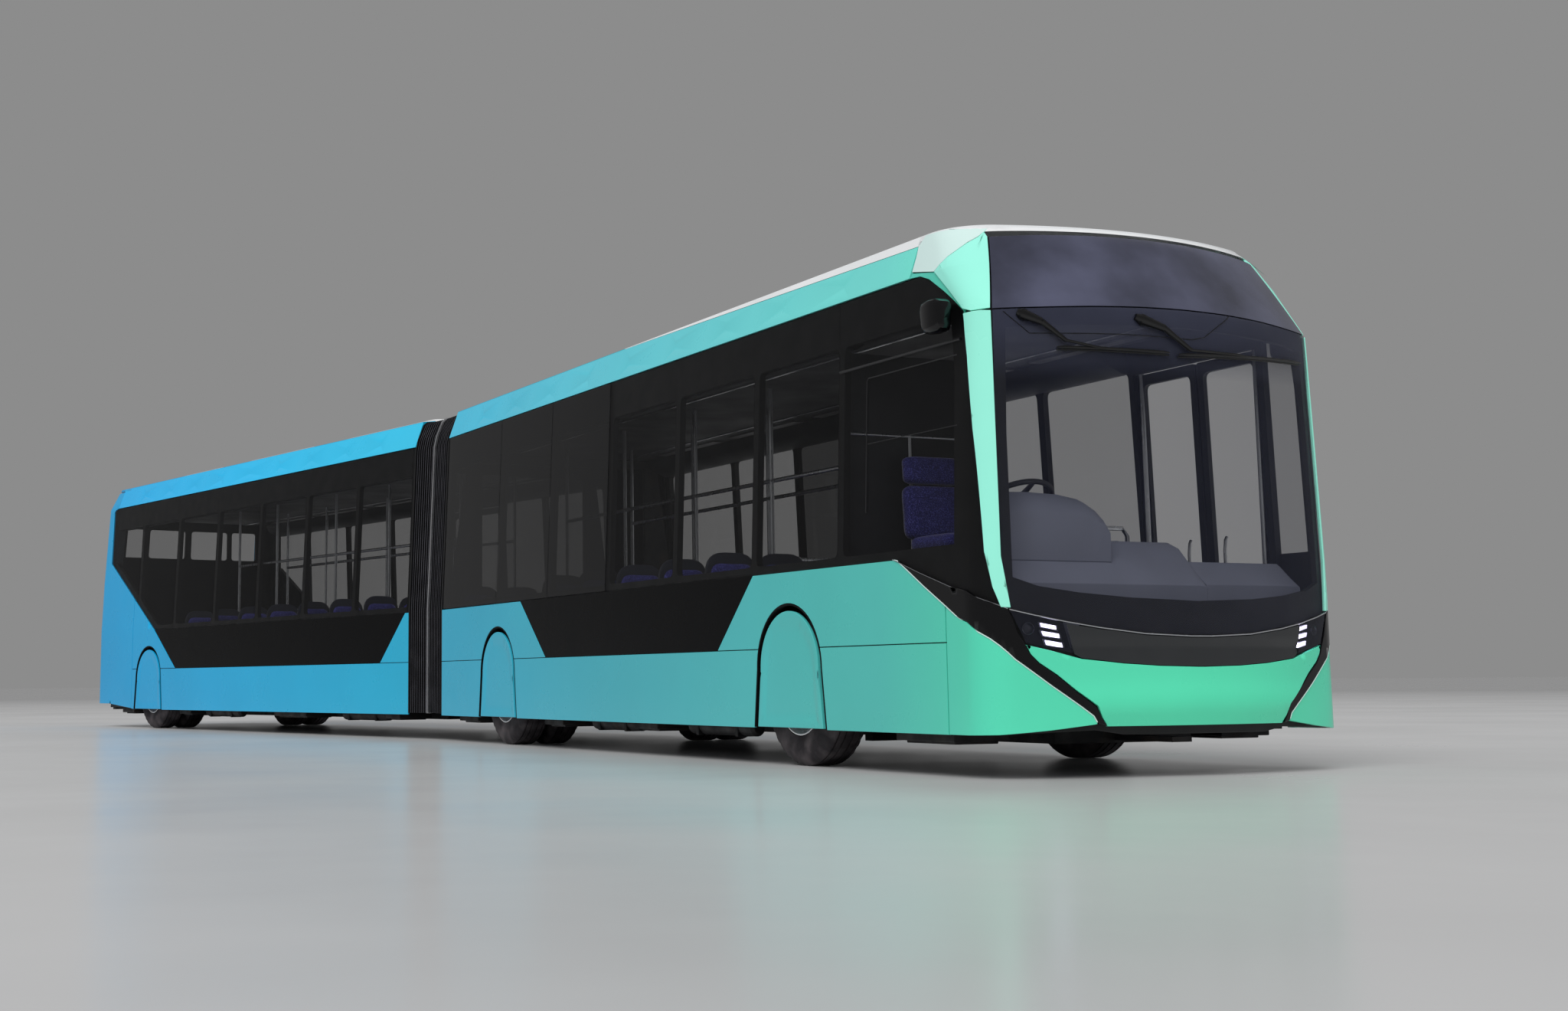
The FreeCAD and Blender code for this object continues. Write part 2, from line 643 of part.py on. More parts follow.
def front_axle_beam():
    """A dropped beam with an eye for each kingpin."""
    y0, y1 = "front_axle - 45", "front_axle + 45"
    pieces = [box("front_beam_middle", ("-680", "680"), (y0, y1), (BEAM_LOW, BEAM_TOP))]
    holes = []
    for hand, side in SIDES.items():
        pieces.append(side_box(f"front_beam_riser_{hand}", side, ("600", "680"), (y0, y1),
                               (BEAM_LOW, "tyre_radius + 40")))
        pieces.append(side_box(f"front_beam_arm_{hand}", side, ("600", "kingpin_half - 20"),
                               ("front_axle - 32", "front_axle + 32"),
                               ("tyre_radius - 40", "tyre_radius + 40")))
        pieces.append(side_box(f"front_spring_seat_{hand}", side, ("470", "560"), (y0, y1),
                               (f"{UNDER} - 80", UNDER)))
        x = "kingpin_half" if side > 0 else "-kingpin_half"
        pieces.append(cylinder(f"front_eye_{hand}", "Z", "38", "110", x, "front_axle",
                               "tyre_radius - 55"))
        holes.append(cylinder(f"front_eye_bore_{hand}", "Z", "kingpin_radius + running_gap", "130",
                              x, "front_axle", "tyre_radius - 65"))
    subpart("front_axle_beam", "front", cut("front_axle_beam_cut", fused("front_beam", pieces), holes))


def knuckle(hand, side):
    """A fork on the kingpin, the spindle outside it and the arm that carries the cover."""
    x = "kingpin_half" if side > 0 else "-kingpin_half"
    pieces = [cylinder(f"kingpin_{hand}", "Z", "kingpin_radius", "146", x, "front_axle",
                       "tyre_radius - 73")]
    for end, low in (("lower", "tyre_radius - 83"), ("upper", "tyre_radius + 61")):
        pieces.append(cylinder(f"fork_{end}_{hand}", "Z", "42", "22", x, "front_axle", low))
        pieces.append(side_box(f"fork_plate_{end}_{hand}", side,
                               ("kingpin_half", "kingpin_half + 68"),
                               ("front_axle - 42", "front_axle + 42"), (low, f"{low} + 22")))
    pieces.append(side_box(f"fork_web_{hand}", side, ("kingpin_half + 46", "kingpin_half + 68"),
                           ("front_axle - 42", "front_axle + 42"),
                           ("tyre_radius - 83", "tyre_radius + 83")))
    pieces.append(side_cylinder(f"spindle_{hand}", side, "spindle_radius",
                                ("kingpin_half + 60", "tyre_face - 60"), "front_axle", "tyre_radius"))
    arm_low, arm_high = "tyre_radius*2 + 8", "tyre_radius*2 + 26"
    y0, y1 = "front_axle - 20", "front_axle + 20"
    pieces.append(side_box(f"arm_foot_{hand}", side, ("kingpin_half - 112", "kingpin_half"),
                           (y0, y1), ("tyre_radius + 61", "tyre_radius + 83")))
    pieces.append(side_box(f"arm_post_{hand}", side, ("kingpin_half - 112", "kingpin_half - 90"),
                           (y0, y1), ("tyre_radius + 61", arm_high)))
    pieces.append(side_box(f"arm_top_{hand}", side,
                           ("kingpin_half - 112", f"{HALF} - 2 - cover_thick"),
                           (y0, y1), (arm_low, arm_high)))
    subpart(f"knuckle_{hand}", "front", fused(f"knuckle_{hand}_all", pieces))


def fixed_axle(label, section, axle):
    """A dropped beam with a hub motor inside each pair of wheels."""
    y0, y1 = f"{axle} - 60", f"{axle} + 60"
    pieces = [box(label + "_middle", ("-590", "590"), (y0, y1), (BEAM_LOW, BEAM_TOP))]
    for hand, side in SIDES.items():
        pieces.append(side_box(f"{label}_riser_{hand}", side, ("510", "590"), (y0, y1),
                               (BEAM_LOW, "tyre_radius")))
        pieces.append(side_cylinder(f"{label}_motor_{hand}", side, "150", ("515", "600"), axle,
                                    "tyre_radius"))
        pieces.append(side_cylinder(f"{label}_tube_{hand}", side, "90", ("560", "1040"), axle,
                                    "tyre_radius"))
        pieces.append(side_cylinder(f"{label}_spindle_{hand}", side, "spindle_radius",
                                    ("1030", "tyre_face - 60"), axle, "tyre_radius"))
        pieces.append(side_box(f"{label}_seat_{hand}", side, ("300", "400"), (y0, y1),
                               (f"{UNDER} - 80", UNDER)))
    subpart(label, section, fused(label + "_all", pieces))


def wheel_cover(name, side, axle, lug):
    """A cover that fills an arch down to the skirt, with its bracket where it is fixed."""
    xs = (f"{HALF} - 2 - cover_thick", f"{HALF} - 2")
    plate = arch_tool(name, side, axle, "cover_gap", xs, "cover_foot")
    if not lug:
        return plate
    tab = side_box(name + "_tab", side, (f"{HALF} - wall - 16", f"{HALF} - 2 - cover_thick"),
                   (f"{axle} - 40", f"{axle} + 40"), ("tyre_radius*2 + 8", "tyre_radius*2 + 26"))
    hook = side_box(name + "_hook", side, (f"{HALF} - wall - 16", f"{HALF} - wall"),
                    (f"{axle} - 40", f"{axle} + 40"),
                    ("tyre_radius*2 + 8", f"{BOX_TOP} - box_wall - seat_gap"))
    return fused(name + "_whole", [plate, tab, hook])


def axles_and_covers():
    front_axle_beam()
    for hand, side in SIDES.items():
        knuckle(hand, side)
        subpart(f"front_cover_{hand}", "front",
                wheel_cover(f"front_cover_{hand}_plate", side, "front_axle", False))
    fixed_axle("drive_axle_beam", "front", "drive_axle")
    fixed_axle("rear_axle_beam", "rear", "rear_axle")
    for label, section, axle in (("drive_wheel_covers", "front", "drive_axle"),
                                 ("rear_wheel_covers", "rear", "rear_axle")):
        plates = [wheel_cover(f"{label}_{hand}", side, axle, True) for hand, side in SIDES.items()]
        subpart(label, section, group(label + "_pair", plates))


# ---------------------------------------------------------------- doors

DOORS = [("front_door", "front"), ("middle_door", "front"), ("rear_door", "rear")]


def door_leaf(door, section, which):
    """One leaf on a post beside its jamb: the post stands on the floor, arms hold the leaf."""
    label = f"{door}_leaf_{which}"
    fore = which == "fore"
    leaf_long = "(door_wide/2 - leaf_gap - leaf_middle_gap/2)"
    if fore:
        start = f"{door} + leaf_gap"
        post_y = f"{door} + post_inset"
        arm = (f"{door} + post_inset", f"{door} + post_inset + 60")
    else:
        start = f"{door} + door_wide - leaf_gap - {leaf_long}"
        post_y = f"{door} + door_wide - post_inset"
        arm = (f"{door} + door_wide - post_inset - 60", f"{door} + door_wide - post_inset")
    low, high = "sill_height + 8", "door_top - 8"
    corners = [(HALF, low), (HALF, "belt_height"), (lean(high), high),
               (lean(high) + " - leaf_thick", high), (f"{HALF} - leaf_thick", "belt_height"),
               (f"{HALF} - leaf_thick", low)]
    panel = prism(label + "_panel", "XZ", corners, start, leaf_long)
    post = cylinder(label + "_post", "Z", "post_radius",
                    "door_top - floor_height - 2*seat_gap", "post_half", post_y,
                    "floor_height + seat_gap")
    arms = [box(f"{label}_arm{i}", ("post_half", f"{HALF} - leaf_thick + 6"), arm,
                (z, f"{z} + 40")) for i, z in enumerate(("500", "1150"))]
    subpart(label, section, fused(label + "_all", [panel, post] + arms))


# ---------------------------------------------------------------- articulation

def turntable():
    """A plate under the front section and a round floor on the rear one, on one upright hub."""
    plate_low = f"({UNDER} - 90)"
    plate_top = f"({UNDER} - 4)"
    link_top = "(floor_height - 25)"
    arm = box("turntable_lower_arm", ("-400", "400"), (FRONT_END, "pivot_place"),
              (plate_low, plate_top))
    tie = box("turntable_lower_tie", ("-400", "400"), (f"{FRONT_END} - 400", FRONT_END),
              (plate_low, UNDER))
    disc = cylinder("turntable_lower_disc", "Z", "500", f"{plate_top} - {plate_low}", "0",
                    "pivot_place", plate_low)
    bore = cylinder("turntable_bore", "Z", "80", "200", "0", "pivot_place", f"{plate_low} - 40")
    subpart("turntable_lower", "front",
            cut("turntable_lower_cut", fused("turntable_lower_all", [arm, tie, disc]), [bore]))
    floor_disc = cylinder("turntable_floor", "Z", "turntable_radius", "30", "0", "pivot_place",
                          "floor_height - 30")
    rear_arm = box("turntable_upper_arm", ("-380", "380"), ("pivot_place", f"{REAR_START} + 20"),
                   (f"{UNDER} + 1", link_top))
    rear_tie = box("turntable_upper_tie", ("-380", "380"), (REAR_START, f"{REAR_START} + 500"),
                   (f"{UNDER} - 80", UNDER))
    rear_link = box("turntable_upper_link", ("-380", "380"), (REAR_START, f"{REAR_START} + 20"),
                    (f"{UNDER} - 40", link_top))
    hub = cylinder("turntable_hub", "Z", "80 - running_gap", f"{link_top} - {plate_low}", "0",
                   "pivot_place", plate_low)
    subpart("turntable_upper", "rear",
            fused("turntable_upper_all", [floor_disc, rear_arm, rear_tie, rear_link, hub]))


def bellows_section(place_y):
    """The bellows' section: an arch, open below, with a coved shoulder."""
    inset = size["bellows_inset"]
    depth = size["bellows_depth"]
    side = size["bus_width"]/2 - inset
    shoulder = size["shoulder_half"] - inset
    eave = size["eaves_half"] - inset
    low = size["skirt_height"] + 20
    right = [(side, low), (side, size["belt_height"]), (shoulder, size["glass_top"] - 30),
             (eave, size["eaves_height"] - 60)]
    inner = [(eave - depth, size["eaves_height"] - 60 - depth),
             (shoulder - depth, size["glass_top"] - 130), (side - depth, size["belt_height"]),
             (side - depth, low)]
    outline = [(-x, z) for x, z in right] + [(x, z) for x, z in reversed(right)]
    outline += [(x, z) for x, z in reversed(inner)] + [(-x, z) for x, z in inner]
    points = [Vector(x, place_y, z) for x, z in outline]
    return Part.makePolygon(points + points[:1])


def bellows():
    """The folded bellows between the two sections as the bus stands."""
    pivot = size["pivot_place"]
    half = size["bellows_length"]/2 - size["seat_gap"]
    fore = bellows_section(pivot - half)
    aft = bellows_section(pivot + half)
    aft.rotate(Vector(0, pivot, 0), Vector(0, 0, 1), size["fold_angle"])
    tube = Part.makeLoft([fore, aft], True, True)
    subpart("bellows", "front", feature("bellows_tube", tube))


# ---------------------------------------------------------------- cabin

SEAT_ROWS = {
    # section: side, first row, rows, pitch
    "front": [(-1, 3250, 5, 760), (-1, 8350, 1, 760), (1, 3250, 1, 760), (1, 5750, 2, 760),
              (1, 8350, 1, 760)],
    "rear": [(-1, 10750, 7, 780), (1, 10750, 2, 700), (1, 13750, 3, 760)],
}


def double_seat(name, side, start):
    """Two seats side by side on one pedestal against the wall."""
    near = f"{HALF} - wall - 10"
    far = f"{HALF} - wall - 10 - 2*seat_width"
    cushion = side_box(name + "_cushion", side, (far, near), (f"{start}", f"{start} + seat_depth"),
                       ("floor_height + seat_cushion - 70", "floor_height + seat_cushion"))
    back = side_box(name + "_back", side, (far, near),
                    (f"{start} + seat_depth - 10", f"{start} + seat_depth + seat_back_thick"),
                    ("floor_height + seat_cushion - 70", "floor_height + seat_back"))
    foot = side_box(name + "_foot", side, (f"{far} + 180", f"{near} - 180"),
                    (f"{start} + 120", f"{start} + 320"),
                    ("floor_height", "floor_height + seat_cushion - 60"))
    return fused(name, [cushion, back, foot])


def seats():
    for section, rows in SEAT_ROWS.items():
        solids = []
        for i, (side, first, count, pitch) in enumerate(rows):
            for j in range(count):
                solids.append(double_seat(f"{section}_seat{i}_{j}", side, first + j*pitch))
        subpart(f"{section}_seats", section, group(f"{section}_seat_set", solids))


POLES = {"front": (3050, 4250, 5520, 6900, 8200), "rear": (10680, 12230, 13520, 15100, 16200)}


def handrails():
    """Poles from floor to ceiling, joined along each side by an overhead rail."""
    for section, places in POLES.items():
        frames = []
        for hand, side in SIDES.items():
            x = "pole_half" if side > 0 else "-pole_half"
            rods = [cylinder(f"{section}_pole_{hand}{i}", "Z", "pole_radius",
                             "ceiling_height - floor_height", x, y, "floor_height")
                    for i, y in enumerate(places)]
            rods.append(cylinder(f"{section}_rail_{hand}", "Y", "pole_radius",
                                 places[-1] - places[0], x, places[0], "rail_height"))
            frames.append(fused(f"{section}_rails_{hand}", rods))
        subpart(f"{section}_handrails", section, group(f"{section}_rail_set", frames))


def cab():
    desk = [("330", "floor_height"), ("700", "floor_height"), ("700", "1300"), ("600", "1350"),
            ("330", "1080")]
    shelf = [("330", "900"), ("560", "900"), ("560", "1220"), ("500", "1230"), ("330", "1080")]
    hood = [("440", "1200"), ("690", "1200"), ("680", "1560"), ("600", "1620"), ("440", "1500")]
    desk_block = fused("dashboard_block", [prism("dashboard_desk", "YZ", desk, "-1080", "1440"),
                                           prism("dashboard_shelf", "YZ", shelf, "300", "780"),
                                           prism("dashboard_hood", "YZ", hood, "-1060", "820")])
    subpart("dashboard", "front", desk_block)
    wheel_tilt = Rotation(Vector(1, 0, 0), -28)
    ring = Part.makeTorus(225, 17)
    hub = Part.makeCylinder(55, 30, Vector(0, 0, -18))
    spokes = [Part.makeBox(400, 34, 16, Vector(-200, -17, -10)),
              Part.makeBox(34, 210, 16, Vector(-17, -210, -10))]
    column = Part.makeCylinder(32, 430, Vector(0, 0, -430))
    rim = ring.fuse([hub, column] + spokes)
    rim.Placement = Placement(Vector(-620, 840, 1580), wheel_tilt)
    seated = cut("steering_wheel_seated", feature("steering_wheel_ring", rim), [desk_block])
    subpart("steering_wheel", "front", seated)
    seat = [box("driver_cushion", ("-860", "-380"), ("1180", "1660"), ("1320", "1430")),
            box("driver_back", ("-850", "-390"), ("1630", "1740"), ("1320", "1950")),
            box("driver_base", ("-760", "-480"), ("1260", "1580"), ("cab_floor", "1330"))]
    subpart("driver_seat", "front", fused("driver_seat_all", seat))
    edge = f"-({HALF} - wall)"
    rear_corners = [(edge, "floor_height"), ("-200", "floor_height"), ("-200", "2600"),
                    (f"-({lean('2600')} - wall)", "2600"), (edge, "belt_height")]
    screens = [prism("cab_rear_screen", "XZ", rear_corners, "1800", "40"),
               box("cab_side_screen", ("-240", "-200"), ("1050", "1840"),
                   ("floor_height", "1400")),
               box("cab_platform", (edge, "-220"), ("720", "1810"), ("floor_height", "cab_floor"))]
    subpart("cab_partition", "front", fused("cab_partition_all", screens))


def lamps():
    """A lamp pod behind each side of the mask's lower face."""
    wall = size["wall"]
    outer = bowed_solid(NOSE_LEVELS, size["mask_back"], wall + 0.3, 700, 900)
    inner = bowed_solid(NOSE_LEVELS, size["mask_back"], wall + 50, 700, 900)
    shell = outer.cut(inner)
    pods = [shell.common(block((790, -100, 700), (1090, 400, 900))),
            shell.common(block((-1090, -100, 700), (-790, 400, 900)))]
    subpart("headlamps", "front", feature("headlamp_pods", Part.makeCompound(pods)))


def nose_set_back(x):
    """How far back the nose is at this X at the top of the screen."""
    radius = NOSE_LEVELS[3][2]
    return radius - math.sqrt(radius**2 - x**2)


def nose_strip(low, high, proud, thick, left, right):
    """A strip that follows the nose, standing proud of it, between two places along X."""
    outer = bowed_solid(NOSE_LEVELS, size["mask_back"], -(proud + thick), low, high)
    inner = bowed_solid(NOSE_LEVELS, size["mask_back"], -proud, low, high)
    return outer.cut(inner).common(block((left, -200, low - 1), (right, 500, high + 1)))


def wipers():
    """Two wipers hung from the header: a foot, an arm down the screen and a blade across it."""
    both = []
    header = size["screen_top"]
    nose = bowed_solid(NOSE_LEVELS, size["mask_back"], -size["seat_gap"], header - 300,
                       header + 150)
    for left in (-1000, -60):
        bow = nose_set_back(left + 25)
        foot = block((left, bow - 46, header + 4), (left + 50, bow + 60, header + 44)).cut(nose)
        arm = block((left + 5, bow - 46, header - 190), (left + 45, bow - 30, header + 40))
        blade = nose_strip(header - 195, header - 170, 8, 28, left + 5, left + 860)
        both.append(foot.fuse([arm, blade]))
    subpart("wipers", "front", feature("wiper_pair", Part.makeCompound(both)))


def cameras():
    """A camera on a short arm at each side of the header, in place of a mirror."""
    header = bowed_solid(NOSE_LEVELS, size["header_back"], -size["seat_gap"],
                         size["screen_top"], size["roof_top"])
    pods = []
    for side in (1, -1):
        pod = block((1240, 500, 2505), (1375, 690, 2700))
        arm = block((1000, 550, 2640), (1260, 640, 2690))
        whole = pod.fuse(arm).cut(header)
        outside = block((1150, 0, 2000), (1600, 2000, 3200))
        whole = whole.common(outside)
        if side < 0:
            whole = whole.mirror(Vector(), Vector(1, 0, 0))
        pods.append(whole)
    subpart("mirror_cameras", "front", feature("mirror_camera_pair", Part.makeCompound(pods)))


def batteries():
    """Plain battery packs closed in under the roof's skin."""
    for section, spans in ROOF_UNITS.items():
        packs = [box(f"{section}_pack{i}", ("-820", "820"), (start, end),
                     ("ceiling_height + 40", "ceiling_height + 300"))
                 for i, (start, end) in enumerate(spans)]
        subpart(f"{section}_batteries", section, group(f"{section}_packs", packs))


# ---------------------------------------------------------------- the whole bus

def build():
    side_walls()
    side_glass()
    roof("front_roof", "front", "header_back + 4", FRONT_END)
    roof("rear_roof", "rear", REAR_START, f"{TAIL_START} - 4")
    steer_box = ("front_axle", "steer_box_half", "(tyre_radius + steer_box_room)")
    drive_box = ("drive_axle", "fixed_box_half", "(tyre_radius + fixed_box_room)")
    rear_box = ("rear_axle", "fixed_box_half", "(tyre_radius + fixed_box_room)")
    front_boxes = floor("front_floor", "front", f"{nose_cheek():.3f} + floor_tuck", FRONT_END,
                        [steer_box, drive_box])
    rear_boxes = floor("rear_floor", "rear", REAR_START, TAIL_START, [rear_box])
    underframe("front_underframe", "front",
               [("700", "front_axle - tyre_radius - 22"),
                ("front_axle + tyre_radius + 122", "drive_axle - tyre_radius - 82"),
                ("drive_axle + tyre_radius + 82", f"{FRONT_END} - 420")],
               f"{FRONT_END} - ring_thick", front_boxes)
    underframe("rear_underframe", "rear",
               [(f"{REAR_START} + 520", "rear_axle - tyre_radius - 82"),
                ("rear_axle + tyre_radius + 82", TAIL_START)],
               REAR_START, rear_boxes)
    front_end()
    rear_end()
    wheels()
    axles_and_covers()
    for door, section in DOORS:
        for which in ("fore", "aft"):
            door_leaf(door, section, which)
    turntable()
    bellows()
    seats()
    handrails()
    cab()
    lamps()
    wipers()
    cameras()
    batteries()


def section_placement(section):
    """The rear section turns about the articulation's upright axis."""
    if section == "front":
        return Placement()
    pivot = Vector(0, size["pivot_place"], 0)
    return Placement(Vector(), Rotation(Vector(0, 0, 1), size["fold_angle"]), pivot)


def check_everything():
    bad = [thing.Name for thing in doc.Objects
           if "Invalid" in thing.State or "Error" in thing.State]
    for whole, _ in SUBPARTS:
        if whole.Shape.isNull() or not whole.Shape.isValid():
            bad.append(whole.Label)
    if bad:
        raise RuntimeError("objects that failed: " + ", ".join(bad))


def settle():
    """Fold the bus and bring the middle of its box over the origin."""
    overall = FreeCAD.BoundBox()
    for whole, section in SUBPARTS:
        whole.Placement = section_placement(section)
        overall.add(whole.Shape.optimalBoundingBox(False, False))
    shift = Placement(Vector(-overall.Center.x, -overall.Center.y, 0), Rotation())
    for whole, section in SUBPARTS:
        whole.Placement = shift.multiply(section_placement(section))
    print("shift", round(overall.Center.x, 3), round(overall.Center.y, 3), "lowest",
          round(overall.ZMin, 3), "box", [round(v, 1) for v in
                                          (overall.XLength, overall.YLength, overall.ZLength)])


def write():
    os.makedirs("parts", exist_ok=True)
    for whole, _ in SUBPARTS:
        whole.Shape.exportStep(f"parts/{whole.Label}.step")
        print(whole.Label, len(whole.Shape.Solids), "solids", round(whole.Shape.Volume/1e9, 4), "m3")


build()
doc.recompute()
check_everything()
settle()
check_everything()
write()
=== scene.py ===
"""Articulated city bus: the visible pieces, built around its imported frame. Metres throughout."""
import math
import bpy
import bmesh
from functools import partial
from mathutils import Matrix, Vector
from mathutils.geometry import delaunay_2d_cdt


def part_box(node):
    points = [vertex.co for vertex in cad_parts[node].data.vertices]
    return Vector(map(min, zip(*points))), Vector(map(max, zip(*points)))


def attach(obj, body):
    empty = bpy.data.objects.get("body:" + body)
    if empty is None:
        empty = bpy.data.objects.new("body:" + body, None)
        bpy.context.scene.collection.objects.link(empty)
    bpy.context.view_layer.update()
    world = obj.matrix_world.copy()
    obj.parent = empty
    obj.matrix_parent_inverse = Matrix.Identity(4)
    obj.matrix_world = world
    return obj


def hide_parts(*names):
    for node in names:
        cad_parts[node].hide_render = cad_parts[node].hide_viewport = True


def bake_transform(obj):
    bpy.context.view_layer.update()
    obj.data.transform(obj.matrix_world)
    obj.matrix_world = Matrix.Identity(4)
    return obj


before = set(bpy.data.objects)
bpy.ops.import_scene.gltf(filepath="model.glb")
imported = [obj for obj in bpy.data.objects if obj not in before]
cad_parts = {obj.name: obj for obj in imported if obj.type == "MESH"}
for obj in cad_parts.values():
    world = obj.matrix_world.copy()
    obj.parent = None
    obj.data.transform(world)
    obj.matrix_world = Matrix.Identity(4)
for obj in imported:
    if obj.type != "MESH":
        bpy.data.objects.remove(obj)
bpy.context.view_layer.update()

# ---- places

# Pieces are drawn on a straight bus: nose at y 0, ground at z 0, the driver's side at -x.
LENGTH, PIVOT, FOLD = 18.75, 9.611, math.radians(10.88)
FRONT_END, REAR_START = 9.093, 10.129
SKIRT, SEAM_LOW, SEAM_HIGH, BELT, GLASS_TOP, EAVES, CROWN = 0.236, 0.748, 0.752, 1.247, 2.909, 3.178, 3.24
PANEL_TOP, PANE_LOW, PANE_HIGH = BELT - 0.004, BELT + 0.004, GLASS_TOP - 0.004
FLOOR, HALF_WIDTH, RAIL_START, WHITE_END, REAR_CORNER = 0.33, 1.275, 1.004, 5.2, 18.2
AXLES = {"front": 2.42, "drive": 7.62, "rear": 16.87}
DOORS = {"front_door": 0.7, "middle_door": 4.3, "rear_door": 12.3}
DOOR_WIDE, DOOR_TOP = 1.15, 2.6
SIDE_NAME = {-1: "right", 1: "left"}

low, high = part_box("front_mask")
FRONT = Matrix.Translation(((low.x + high.x) / 2, low.y, 0))
REAR = (FRONT @ Matrix.Translation((0, PIVOT, 0)) @ Matrix.Rotation(FOLD, 4, "Z")
        @ Matrix.Translation((0, -PIVOT, 0)))
PLACE = {"front": (FRONT, "front_section"), "rear": (REAR, "rear_section")}


def section_of(name):
    return "rear" if name.startswith("rear") else "front"


def in_section(table, section):
    """The places of a table's axles or doors that lie in a section."""
    return [y for name, y in table.items() if section_of(name) == section]


# ---- the body's surface

# height, setback, bow radius, corner radius
NOSE = [(0.236, 0, 3.1, 0.25), (0.931, 0, 3.1, 0.25), (1.247, 0, 3, 0.24), (2.603, 0, 2.6, 0.2),
        (2.909, 0.2, 2.6, 0.29), (3.092, 0.32, 2.6, 0.35), (3.178, 0.42, 2.6, 0.35), (3.24, 0.48, 2.6, 0.35)]
TAIL = [(0.303, 0, 9, 0.16), (1.247, 0, 9, 0.16), (1.9, 0, 9, 0.16), (2.909, 0.06, 9, 0.17),
        (3.178, 0.2, 9, 0.18), (3.24, 0.32, 9, 0.18)]
NOSE_LEVELS, TAIL_LEVELS = ([row[0] for row in table] for table in (NOSE, TAIL))
HALF = [(SKIRT, HALF_WIDTH), (BELT, HALF_WIDTH), (GLASS_TOP, 1.209), (EAVES, 1.114), (CROWN, 1.01)]


def run(a, b, count):
    """The points from a to b in equal steps."""
    return [tuple(p + (q - p) * i / count for p, q in zip(a, b)) for i in range(count + 1)]


def circle(count, start=0):
    """The cosine and sine of equal steps round a circle."""
    angles = [2 * math.pi * (k + start) / count for k in range(count)]
    return [(math.cos(t), math.sin(t)) for t in angles]


def between(table, z):
    """The table's row at a height."""
    if z <= table[0][0]:
        return table[0][1:]
    for a, b in zip(table, table[1:]):
        if z <= b[0]:
            t = (z - a[0]) / (b[0] - a[0])
            return tuple(p + (q - p) * t for p, q in zip(a[1:], b[1:]))
    return table[-1][1:]


def half(z):
    return between(HALF, z)[0]


def plan(levels, z):
    """Bow centre, bow radius, corner centre, corner radius and the angle where they meet."""
    setback, bow, corner = between(levels, z)
    cx = half(z) - corner
    cy = setback + bow - math.sqrt((bow - corner) ** 2 - cx ** 2)
    return setback + bow, bow, cx, cy, corner, math.atan2(cx, setback + bow - cy)


def wrap(levels, u, z, out=0):
    """A point on an end of the bus: |u| to 1 is the bow, to 2 the corner, then metres along the side."""
    centre, bow, cx, cy, corner, tilt = plan(levels, z)
    side, v = (-1 if u < 0 else 1), abs(u)
    if v <= 1:
        x, y = (bow + out) * math.sin(tilt * v), centre - (bow + out) * math.cos(tilt * v)
    elif v <= 2:
        turn = tilt + (math.pi / 2 - tilt) * (v - 1)
        x, y = cx + (corner + out) * math.sin(turn), cy - (corner + out) * math.cos(turn)
    else:
        x, y = cx + corner + out, cy + v - 2
    return Vector((side * x, y if levels is NOSE else LENGTH - y, z))


def flank(side, y, z, out=0):
    """A point on the straight wall of a side."""
    return Vector((side * (half(z) + out), y, z))


nose, tail = partial(wrap, NOSE), partial(wrap, TAIL)
SIDES = {side: partial(flank, side) for side in (-1, 1)}


def u_at(levels, side, kind, value, z):
    """Where on an end a corner ("x", x, z) or ("y", y, z), drawn for the driver's side, lies."""
    bow, cx, cy, corner, tilt = plan(levels, z)[1:]
    if kind == "y":
        y = value if levels is NOSE else LENGTH - value
        turn = math.acos(min(1, (cy - y) / corner)) if y < cy else 0
        return side * (2 + y - cy if y >= cy else 1 + (turn - tilt) / (math.pi / 2 - tilt))
    x = -side * value
    if abs(x) <= bow * math.sin(tilt):
        u = math.asin(abs(x) / bow) / tilt
    else:
        u = 1 + (math.asin(min(1, (abs(x) - cx) / corner)) - tilt) / (math.pi / 2 - tilt)
    return u if x >= 0 else -u


def spot(side, corner, out=0):
    """The point on the nose at a corner."""
    return nose(u_at(NOSE, side, *corner), corner[2], out)


def trace(levels, side, corners, step=0.05):
    """Corners as a closed line on an end."""
    line = []
    for a, b in zip(corners, corners[1:] + corners[:1]):
        if a[0] == b[0]:
            count = max(1, round(math.dist(a[1:], b[1:]) / step))
            line += [(u_at(levels, side, a[0], *p), p[1]) for p in run(a[1:], b[1:], count)[:-1]]
        else:
            start, end = ((u_at(levels, side, *p), p[2]) for p in (a, b))
            line += run(start, end, max(1, round((nose(*start) - nose(*end)).length / step)))[:-1]
    return line


def inside(point, line):
    x, y = point
    hit = False
    for (ax, ay), (bx, by) in zip(line, line[1:] + line[:1]):
        if (ay > y) != (by > y) and x < ax + (bx - ax) * (y - ay) / (by - ay):
            hit = not hit
    return hit


def corners_of(points):
    """Each corner of a closed outline, with the one before and the one after."""
    return [map(Vector, p) for p in zip(points[-1:] + points[:-1], points, points[1:] + points[:1])]


def rounded(points, radius, steps=5):
    """A closed outline with its corners rounded."""
    out = []
    for a, p, b in corners_of(points):
        r = min(radius, (a - p).length * 0.45, (b - p).length * 0.45)
        start, end = p + (a - p).normalized() * r, p + (b - p).normalized() * r
        out += [tuple(start * (1 - t) ** 2 + p * 2 * t * (1 - t) + end * t * t)
                for t in (i / steps for i in range(steps + 1))]
    return out


